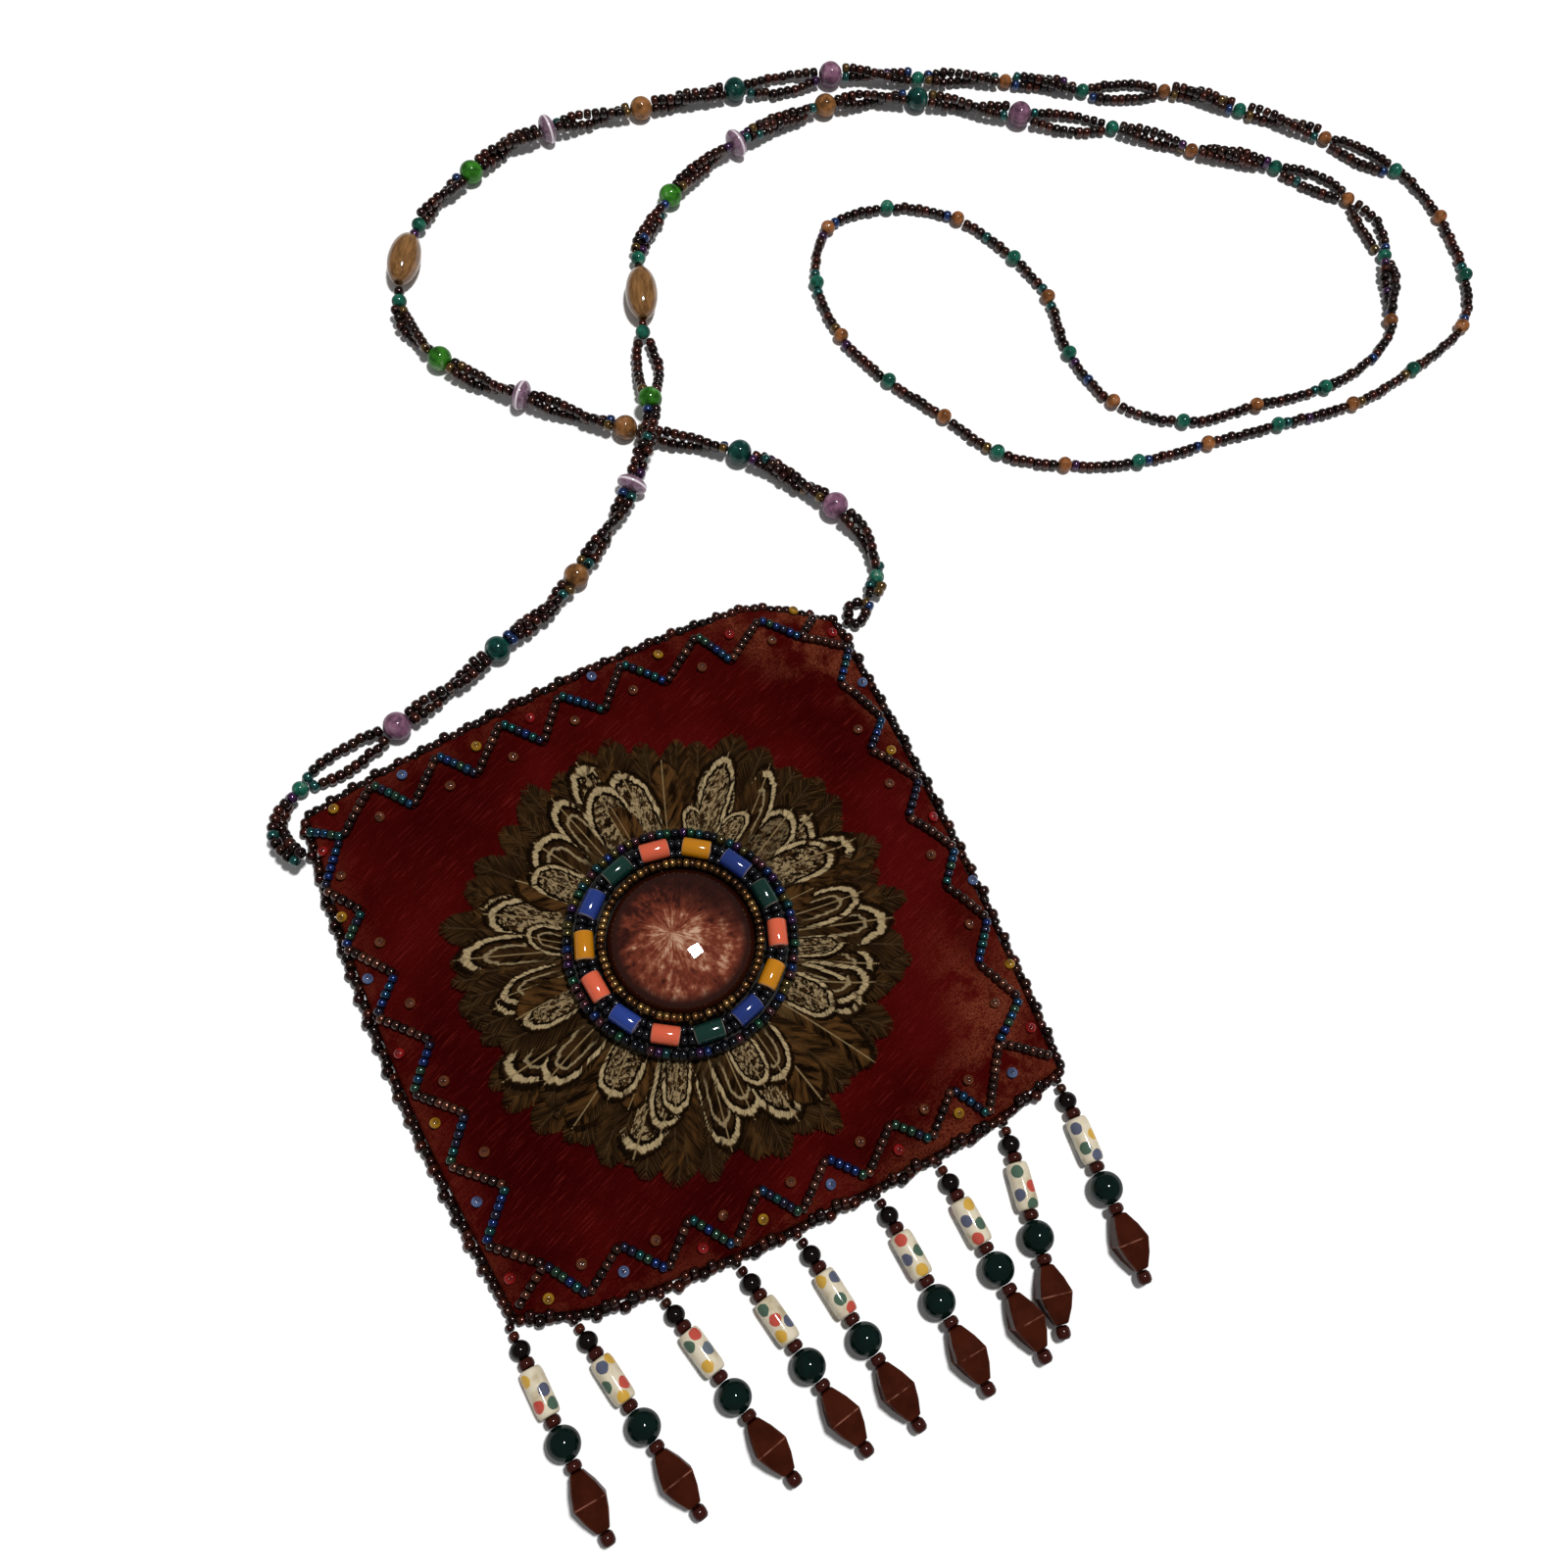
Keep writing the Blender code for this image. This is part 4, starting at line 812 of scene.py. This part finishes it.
class Feathers:
    """Overlapping feathers, gathered into one piece."""

    rows, columns = 13, 8

    def __init__(self):
        self.points, self.faces, self.uv = [], [], []
        self.data = {"chance": [], "rim": [], "barb": []}

    def add(self, angle, root, reach, half, lift, roll, bend, tip_lift):
        start, kind = len(self.points), chance.random()
        turn = (math.cos(angle), math.sin(angle))
        for j in range(self.rows + 1):
            share = j / self.rows
            tip = 0.97 * max(0.0, (share - 0.62) / 0.38)
            narrow = min(share / 0.55, 1.0)
            width = (0.3 + 0.7 * narrow * narrow * (3 - 2 * narrow)) * math.sqrt(1 - tip * tip)
            for i in range(self.columns + 1):
                side = 2 * i / self.columns - 1
                along, out = root + (reach - root) * share, side * width * half + bend * share * share
                x = ROSETTE[0] + along * turn[0] - out * turn[1]
                y = ROSETTE[1] + along * turn[1] + out * turn[0]
                rise = lift + tip_lift * share**2 + 0.45 * (1 - side * side) + roll * side * width
                self.points.append((x, y, front_height(x, y) + max(0.0, float(relief(x, y))) + max(rise, 0.12)))
                self.uv.append((0.5 + 0.5 * side * width, share))
                self.data["chance"].append(kind)
                self.data["rim"].append(max(abs(side) ** 1.5, tip**1.5))
                self.data["barb"].append((reach - root) * share - 1.4 * abs(side) * width * half)
        wide = self.columns + 1
        for j in range(self.rows):
            for i in range(self.columns):
                a = start + j * wide + i
                self.faces.append((a, a + wide, a + wide + 1, a + 1))

    def build(self, name, node, finish):
        piece = add_piece(name, self.points, self.faces, finish, point_data=self.data, uv=self.uv)
        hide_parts(node)
        return piece


def feather_ring(feathers, count, root, reach, half, lift, tip_lift, start=0.0, uneven=0.03):
    for k in range(count):
        angle = 2 * math.pi * (k + start + chance.normal(0, 0.22)) / count
        feathers.add(
            angle, root, reach * chance.normal(1, uneven), half * chance.uniform(0.75, 1.2),
            lift + chance.uniform(0, 0.5), chance.choice([-0.5, -0.35, 0.4]), chance.normal(0, 1.6), tip_lift,
        )


def feather_finish(name, outlined, fuzz):
    """Barred body feathers with a cream band inside their rim, or plain olive ones with a painted glint towards their
    rims.
    """
    finish = Finish(name, Roughness=0.8)
    finish.set("Specular IOR Level", 0.0)
    u, v, _ = finish.split(finish.coords("UV"))
    x = (u * 2.0 - 1.0).math("ABSOLUTE")
    tip = ((v - 0.62) / 0.38).math("MAXIMUM", 0.0)
    ring = (x * x + tip * tip).math("SQRT")
    kind, rim, barb = (finish.attribute(key) for key in ("chance", "rim", "barb"))
    shift = kind * 40.0
    barbs = finish.noise(finish.join(barb * 3.4, x * 1.2, shift), 1.0, 2.0, 0.6)
    fine = finish.noise(finish.join(barb * 6.0, x * 2.0, shift), 1.0, 2.0, 0.7)
    blotch = finish.noise(finish.join(barb * 0.45, u * 3.0, shift), 1.0, 3.0, 0.6)
    dark, olive, tan = (0.006, 0.003, 0.0015), (0.028, 0.0135, 0.005), (0.08, 0.035, 0.01)
    if outlined:
        cream, side = (0.4, 0.3, 0.16), u + kind
        colour = finish.mix(finish.step(blotch, 0.35, 0.65), dark, olive)
        plain = finish.step(kind, 0.74, 0.76)
        colour = finish.mix((plain + 0.25) * finish.step(blotch, 0.35, 0.7), colour, tan)
        speckle = finish.step(finish.noise(finish.join(v * 15.0, side * 12.0 + barb * 0.25, shift), 1.0, 3.0, 0.8), 0.49, 0.56)
        wobble = ring + (blotch - 0.5) * 0.3 + (u - 0.5) * (kind - 0.3) * 0.5
        speckled = finish.step(kind, 0.4, 0.38) * finish.step(wobble, 0.66, 0.6)
        colour = finish.mix(speckle * speckled * finish.step(v, 0.15, 0.4) * 0.9, colour, (0.32, 0.23, 0.12))
        ringed = 1.0 - plain
        inner = finish.step(wobble, 0.3, 0.36) * finish.step(wobble, 0.44, 0.4) * finish.step(kind, 0.38, 0.42)
        colour = finish.mix(inner * ringed * finish.step(v, 0.3, 0.5) * 0.6, colour, cream)
        colour = finish.mix(finish.step(wobble, 0.56, 0.6) * finish.step(wobble, 0.72, 0.66) * ringed, colour, dark)
        band = finish.step(wobble, 0.66, 0.7) * finish.step(wobble, 0.86, 0.81) * finish.step(fine, 0.33, 0.45)
        band = band * finish.step(finish.noise(finish.join(barb * 0.3, side * 1.5, shift), 1.0), 0.3, 0.42)
        colour = finish.mix(band * ringed * finish.step(v, 0.15, 0.4), colour, cream)
        colour = finish.mix(finish.step(wobble, 0.86, 0.92) * 0.9, colour, dark)
        colour = finish.mix(finish.step(v, 0.45, 0.1) * finish.step(barbs, 0.42, 0.6) * 0.8, colour, (0.12, 0.078, 0.032))
        colour = finish.mix(finish.step(x, 0.045, 0.015) * 0.8, colour, (0.26, 0.18, 0.085))
    else:
        colour = finish.mix(finish.step(barbs, 0.3, 0.7), dark, olive)
        colour = finish.mix(finish.step(kind, 0.3, 0.8) * finish.step(blotch, 0.4, 0.7) * 0.9, colour, tan)
        # Painted glint: a lighter brown on the barbs towards the rim of some plain feathers.
        colour = finish.mix(finish.step(ring, 0.4, 0.9) * finish.step(barbs, 0.45, 0.65) * finish.step(kind, 0.75, 0.35) * 0.6, colour, (0.085, 0.043, 0.016))
        colour = finish.mix(finish.step(x, 0.05, 0.02) * 0.6, colour, (0.06, 0.035, 0.015))
    strands = finish.step(fine, 0.3, 0.7)
    colour = finish.mix(strands * 0.8 + 0.2, finish.times(colour, (0.4, 0.4, 0.4)), colour)
    finish.set("Base Color", colour)
    teeth = finish.noise(finish.join(barb * 2.8, x * 0.4, shift), 1.0, 1.0, 0.5)
    edge = rim + (teeth - 0.5) * fuzz
    finish.set("Alpha", edge.math("LESS_THAN", 0.93))
    finish.bump(fine * 0.5 + barbs * 0.5, 0.00025)
    return finish


def rosette():
    outer, inner = Feathers(), Feathers()
    feather_ring(outer, 38, 20, 51.5, 5.2, 0.2, 0.5)
    feather_ring(outer, 34, 20, 49.5, 5.0, 0.5, 0.6, 0.5)
    feather_ring(outer, 28, 20, 46.0, 4.6, 0.8, 0.5, 0.2)
    feather_ring(inner, 20, 20, 46.5, 5.8, 1.0, 0.7, 0.1, 0.05)
    feather_ring(inner, 17, 20, 43.0, 5.2, 1.4, 0.6, 0.6, 0.06)
    feather_ring(inner, 12, 20, 36.0, 4.0, 1.7, 0.4, 0.3, 0.06)
    outer.build("outer_feathers", "feathers_outer", feather_finish("olive_feathers", False, 1.8))
    inner.build("inner_feathers", "feathers_inner", feather_finish("barred_feathers", True, 1.0))


# The medallion

CORAL, AMBER, BLUE, GREEN = (0.5, 0.085, 0.04), (0.4, 0.15, 0.003), (0.012, 0.03, 0.16), (0.002, 0.022, 0.016)
TUBE_COLOURS = [CORAL, AMBER, BLUE, GREEN, CORAL, AMBER, BLUE, GREEN, CORAL, BLUE, CORAL, AMBER, BLUE, GREEN]
RAINBOW = [
    (0.01, 0.05, 0.025), (0.006, 0.018, 0.08), (0.03, 0.008, 0.045), (0.006, 0.04, 0.045), (0.06, 0.045, 0.01),
    (0.05, 0.015, 0.02), (0.004, 0.005, 0.008), (0.004, 0.005, 0.008), (0.004, 0.005, 0.008),
]


def ring_place(radius, angle, height):
    return (
        ROSETTE[0] + radius * math.cos(angle), ROSETTE[1] + radius * math.sin(angle), BEZEL_BASE + height,
    )


def ring_of_seeds(name, node, finish, rows, tints):
    beads = Beads()
    for radius, height, seed in rows:
        count = round(2 * math.pi * radius / (seed * 1.52))
        for k in range(count):
            angle = 2 * math.pi * (k + chance.normal(0, 0.06)) / count
            tint = tints[chance.integers(len(tints))]
            beads.add(
                ring_place(radius + chance.normal(0, 0.06), angle, height),
                (-math.sin(angle), math.cos(angle), 0), seed, seed * 0.76, tint, 0.08,
            )
    piece = beads.build(name, finish)
    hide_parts(node)


def tube_row(finish, dark):
    profile = [(0.3, -0.98), (0.78, -1.0), (0.94, -0.95), (1.0, -0.86), (1.0, 0.86), (0.94, 0.95), (0.78, 1.0), (0.3, 0.98)]
    tubes, seeds = Beads(turned(profile, 24)), Beads()
    for k, colour in enumerate(TUBE_COLOURS):
        angle = math.radians(83.7 - 360 * k / 14)
        along = (-math.sin(angle), math.cos(angle), 0)
        size = chance.normal(1, 0.03)
        tubes.add(ring_place(21.55, angle, 2.3), along, 2.2, 3.25 * size, np.array(colour) * chance.normal(1, 0.08), 0.03)
        for radius, height in ((20.2, 1.7), (22.5, 1.9)):
            for step in (-0.42, 0.42):
                between = angle - math.pi / 14 + step * 2.05 / radius
                way = (-math.sin(between), math.cos(between), 0)
                seeds.add(ring_place(radius, between, height), way, 1.2, 0.85, (0.006, 0.006, 0.008), 0.15)
    piece = tubes.build("glazed_tubes", finish)
    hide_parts("bezel_tube_row")
    seeds.build("black_spacer_seeds", dark)


def glaze_finish():
    finish = Finish("glazed_tubes", Roughness=0.5, Coat_Weight=1.0, Coat_Roughness=0.08)
    finish.set("Specular IOR Level", 0.0)
    tint, along = finish.attribute("tint", "Color"), finish.attribute("along")
    specks = finish.step(finish.noise(finish.coords(), 2600.0, 2.0), 0.62, 0.72)
    wear_and_highlight = finish.step(along * along, 0.8, 1.0)
    colour = finish.mix(specks * 0.35, tint, finish.times(tint, (0.5, 0.5, 0.5)))
    finish.set("Base Color", finish.mix(wear_and_highlight * 0.4, colour, (0.5, 0.4, 0.32)))
    finish.bump(finish.noise(finish.coords(), 900.0), 0.0001)
    return finish


def cabochon():
    """The glass dome: a pale starburst that shines out of red-brown glass."""
    profile = [(0, 0), (15.6, 0.0), (16.3, 0.25), (16.55, 0.7), (16.55, 1.5)]
    for step in range(1, 26):
        angle = math.radians(90 * step / 26)
        profile.append((16.55 * math.cos(angle), 1.5 + 5.1 * math.sin(angle)))
    profile.append((0, 6.6))
    points, faces = turned(profile, 96, bored=False)
    faces = [tuple(dict.fromkeys(face)) for face in faces]
    finish = Finish("cabochon_glass", Roughness=0.5, Coat_Weight=0.6, Coat_Roughness=0.015)
    finish.set("Specular IOR Level", 0.0)
    x, y, z = finish.split(finish.coords())
    across, up = (x + 0.0037) * 1000.0, (y + 0.0011) * 1000.0
    far = (across * across + up * up).math("SQRT")
    cos, sin = across / (far + 0.01), up / (far + 0.01)
    rays = finish.noise(finish.join(cos * 3.2, sin * 3.2, far * 0.12), 1.6, 4.0, 0.7)
    thin = finish.noise(finish.join(cos * 8.0, sin * 8.0, far * 0.35), 1.6, 3.0, 0.6)
    cloud = finish.noise(finish.join(across * 0.2, up * 0.2), 1.3, 4.0, 0.7)
    low = finish.step(across * 0.25 - up * 0.97, -8.0, 9.0)
    pale = rays * 1.3 + thin * 0.6 + cloud * 1.4 + finish.step(far, 12.0, 1.0) * 0.35 + low * 0.3
    colour = finish.mix(finish.step(pale, 1.5, 1.95), (0.022, 0.003, 0.0015), (0.12, 0.022, 0.01))
    colour = finish.mix(finish.step(pale, 1.9, 2.2), colour, (0.24, 0.085, 0.045))
    colour = finish.mix(finish.step(pale, 2.1, 2.4), colour, (0.44, 0.27, 0.18))
    rim_x, rim_y = (x + 0.002) * 1000.0, (y + 0.0024) * 1000.0
    rim = (rim_x * rim_x + rim_y * rim_y).math("SQRT")
    colour = finish.mix(finish.step(rim + cloud * 2.0, 13.6, 16.0), colour, (0.02, 0.004, 0.002))
    shaded = finish.step(rim_x * 0.75 + rim_y * 0.66 + cloud * 3.0, 5.0, 12.0)
    finish.set("Base Color", finish.mix(shaded * 0.8, colour, (0.012, 0.002, 0.001)))
    place = np.array([ROSETTE[0], ROSETTE[1], BEZEL_BASE])
    piece = add_piece("cabochon_dome", points + place, faces, finish)
    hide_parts("cabochon")


chance = np.random.default_rng(5)
rosette()
ring_of_seeds("gold_seeds", "bezel_gold_rows", seed_finish("gold_seeds", 0.25, 0.85, 0.3),
              [(17.85, 1.05, 1.0), (17.7, 2.95, 1.0)], [(0.14, 0.065, 0.018), (0.07, 0.03, 0.008), (0.24, 0.13, 0.04), (0.05, 0.02, 0.008)])
ring_of_seeds("rainbow_seeds", "bezel_outer_row", LUSTRE_SEEDS, [(25.4, 1.35, 1.2)], RAINBOW)
tube_row(glaze_finish(), DARK_SEEDS)
cabochon()
felt = Finish("backing_felt", Roughness=0.95)
felt_noise = felt.noise(felt.coords(), 1800.0, 3.0)
felt.set("Base Color", felt.mix(felt_noise, (0.004, 0.004, 0.004), (0.02, 0.018, 0.016)))
felt.bump(felt_noise, 0.0003)
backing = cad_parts["medallion_backing"]
for slot in backing.material_slots:
    slot.material = felt.material


# The fringe

FRINGE_LEANS = [4.5, 12.0, 14.0, 12.0, 9.0, 5.5, 3.5, -11.0, -3.5]
RED, YELLOW, INK, LEAF, GREY = (0.4, 0.025, 0.015), (0.5, 0.28, 0.02), (0.035, 0.05, 0.11), (0.015, 0.07, 0.045), (0.07, 0.1, 0.14)
# Dots on each tube: degrees to the left of its upper side, place along it from -1 to 1, colour
DOTS = [
    [(45, -0.6, YELLOW), (-30, 0.0, INK), (35, 0.5, RED), (-45, 0.62, LEAF)],
    [(10, -0.6, INK), (-55, -0.75, YELLOW), (-45, 0.35, RED), (50, 0.1, LEAF), (0, 0.8, YELLOW)],
    [(-25, -0.7, RED), (40, -0.45, LEAF), (-40, 0.05, GREY), (20, 0.6, YELLOW)],
    [(35, -0.65, LEAF), (10, -0.05, RED), (35, 0.6, YELLOW), (-50, 0.3, INK)],
    [(40, -0.7, YELLOW), (-40, -0.55, INK), (0, 0.3, LEAF), (-30, 0.85, RED)],
    [(20, -0.7, RED), (45, 0.1, INK), (-40, 0.0, LEAF), (0, 0.75, YELLOW)],
    [(-25, -0.65, YELLOW), (35, -0.1, INK), (-30, 0.25, LEAF), (25, 0.75, RED)],
    [(20, -0.6, LEAF), (40, 0.35, INK), (-40, 0.1, RED), (-20, 0.85, LEAF)],
    [(35, -0.55, INK), (30, 0.35, LEAF), (-45, -0.1, YELLOW), (-20, 0.8, INK)],
]


def fringe_line(lean):
    """Where a string lies, read by the distance from its hinge, as in the part's source."""
    bends = [(0.0, 0.14), (10.65, 1.25), (23.35, 1.8), (33.05, 2.7), (48.85, 1.55)]
    across, along = math.sin(math.radians(lean)), -math.cos(math.radians(lean))

    def point(distance):
        rise = np.interp(distance, [b[0] for b in bends], [b[1] for b in bends])
        return np.array([across * distance, along * distance, 1.65 + rise])

    return point


def bicone():
    """Four-sided long bead with narrow bevels on its edges."""
    corner = [(1, -0.9), (1, 0.9), (0.9, 1), (-0.9, 1), (-1, 0.9), (-1, -0.9), (-0.9, -1), (0.9, -1)]
    rings = [
        (0.3, -1.0), (0.41, -0.96), (0.755, -0.5), (0.99, -0.02), (0.99, 0.02), (0.755, 0.5), (0.41, 0.96), (0.3, 1.0),
    ]
    points = [(size * x, size * y, z) for size, z in rings for x, y in corner]
    faces = [tuple(range(7, -1, -1)), tuple(range(56, 64))]
    for ring in range(7):
        for k in range(8):
            j = (k + 1) % 8
            faces.append((ring * 8 + k, ring * 8 + j, ring * 8 + 8 + j, ring * 8 + 8 + k))
    return np.array(points), faces


def dotted_finish(number, dots):
    """Off-white glazed tube with hand-painted dots."""
    finish = Finish(f"painted_tube_{number}", Roughness=0.5, Coat_Weight=0.6, Coat_Roughness=0.08)
    finish.set("Specular IOR Level", 0.0)
    across, above, along = (finish.attribute(key) for key in ("across", "above", "along"))
    wobble = (finish.noise(finish.coords(), 700.0) - 0.5) * 0.22
    stain = finish.noise(finish.coords(), 260.0, 3.0)
    colour = finish.mix(finish.step(stain, 0.4, 0.75), (0.6, 0.53, 0.4), (0.38, 0.31, 0.19))
    for degrees, place, paint in dots + [(180 - a, -b, c) for a, b, c in dots]:
        left = across - math.sin(math.radians(degrees))
        up = above - math.cos(math.radians(degrees))
        down = (along - place) * 2.1
        gap = (left * left + up * up + down * down).math("SQRT") + wobble
        colour = finish.mix(finish.step(gap, 0.6, 0.52) * 0.92, colour, paint)
    ends = finish.step(along * along, 0.9, 1.0)
    finish.set("Base Color", finish.mix(ends * 0.5, colour, (0.2, 0.12, 0.06)))
    return finish


def stone_finish():
    finish = Finish("red_brown_stone", Roughness=0.5, Coat_Weight=0.2, Coat_Roughness=0.1)
    finish.set("Specular IOR Level", 0.0)
    cloud = finish.noise(finish.coords(), 180.0, 4.0, 0.6)
    colour = finish.mix(finish.step(cloud, 0.3, 0.7), (0.026, 0.0042, 0.0015), (0.044, 0.0075, 0.0026))
    across, above = finish.attribute("across").math("ABSOLUTE"), finish.attribute("above").math("ABSOLUTE")
    # Painted highlight: pale lines along the bead's edges and its middle ridge, partly worn edges, broken into patches
    # by noise.
    edge = finish.step(across.math("MINIMUM", above) / across.math("MAXIMUM", above), 0.88, 0.92) * 0.2
    ridge_highlight = finish.step(finish.attribute("along").math("ABSOLUTE"), 0.028, 0.02) * 0.9
    wear_and_highlight = finish.step(finish.noise(finish.coords(), 420.0, 3.0), 0.35, 0.6)
    finish.set("Base Color", finish.mix(edge.math("MAXIMUM", ridge_highlight) * wear_and_highlight, colour, (0.19, 0.07, 0.045)))
    finish.bump(finish.noise(finish.coords(), 1500.0), 0.00003)
    return finish


def green_glass_finish():
    finish = Finish("bottle_green_glass", Roughness=0.5, Coat_Weight=0.4, Coat_Roughness=0.05)
    finish.set("Specular IOR Level", 0.0)
    cloud = finish.noise(finish.coords(), 300.0, 2.0)
    finish.set("Base Color", finish.mix(cloud, (0.0005, 0.003, 0.0025), (0.002, 0.012, 0.009)))
    return finish


def fringe():
    tube_profile = [
        (0.3, -0.985), (0.72, -1.0), (0.86, -0.97), (0.95, -0.88), (1.0, -0.7), (1.0, 0.7), (0.95, 0.88), (0.86, 0.97),
        (0.72, 1.0), (0.3, 0.985),
    ]
    tube, large, long_bead = turned(tube_profile, 36), ball(32, 18, 0.14), bicone()
    stone, glass = stone_finish(), green_glass_finish()
    string_finish = seed_finish("fringe_seed_glass", 0.12, 0.0, 0.35)
    black, rust = (0.004, 0.002, 0.002), (0.032, 0.006, 0.004)
    for number, (hook, lean) in enumerate(zip(FRINGE_HOOKS, FRINGE_LEANS), 1):
        line = fringe_line(lean)
        base = np.array([*hook, 0.0])
        body = f"fringe_{number}"

        def place(start, length):
            first, last = line(start), line(start + length)
            return base + (first + last) / 2, last - first

        small, stones = Beads(), Beads(BALL)
        small.add(*place(1.45, 1.75), 1.15, 0.88, seed_tint())
        stones.add(*place(3.2, 4.4), 2.2, 2.1, black)
        small.add(*place(7.6, 1.7), 1.8, 1.08, rust)
        small.add(*place(20.3, 1.7), 1.8, 1.08, rust)
        small.add(*place(30.0, 1.7), 1.8, 1.08, rust)
        small.add(*place(44.9, 2.7), 1.65, 1.4, rust)
        string = small.build(body + "_seeds", string_finish, body)
        stones.build(body + "_black_bead", string_finish, body)
        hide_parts(f"fringe_{number}_string")
        for kind, template, start, length, radius, finish, smooth in (
            ("painted_tube", tube, 9.6, 10.4, 2.55, dotted_finish(number, DOTS[number - 1]), True),
            ("round_bead", large, 22.3, 7.4, 3.7, glass, True),
            ("bicone", long_bead, 32.0, 12.6, 3.6, stone, False),
        ):
            beads = Beads(template)
            beads.add(*place(start, length), radius, length / 2, (1, 1, 1))
            piece = beads.build(f"{body}_{kind}_piece", finish, body, smooth)
            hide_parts(f"fringe_{number}_{kind}")


fringe()


# Floor and light


def stage():
    floor = bpy.data.meshes.new("floor")
    floor.from_pydata([(-4, -4, 0), (4, -4, 0), (4, 4, 0), (-4, 4, 0)], [], [(0, 1, 2, 3)])
    finish = Finish("floor", Roughness=0.9)
    finish.set("Base Color", (0.95, 0.95, 0.95))
    finish.set("Specular IOR Level", 0.0)
    floor.materials.append(finish.material)
    piece = bpy.data.objects.new("floor", floor)
    bpy.context.scene.collection.objects.link(piece)
    data = bpy.data.lights.new("key", "AREA")
    data.size = 0.17
    data.energy = 25.0
    light = bpy.data.objects.new("key", data)
    light.location = (0.27, 0.06, 1.55)
    light.rotation_euler = (-Vector(light.location)).to_track_quat("-Z", "Y").to_euler()
    bpy.context.scene.collection.objects.link(light)
    world = bpy.data.worlds.new("studio")
    world.use_nodes = True
    background = world.node_tree.nodes["Background"]
    background.inputs["Color"].default_value = (1.0, 1.0, 1.0, 1.0)
    background.inputs["Strength"].default_value = 0.2
    bpy.context.scene.world = world
    bpy.context.scene.view_settings.view_transform = "Standard"


stage()
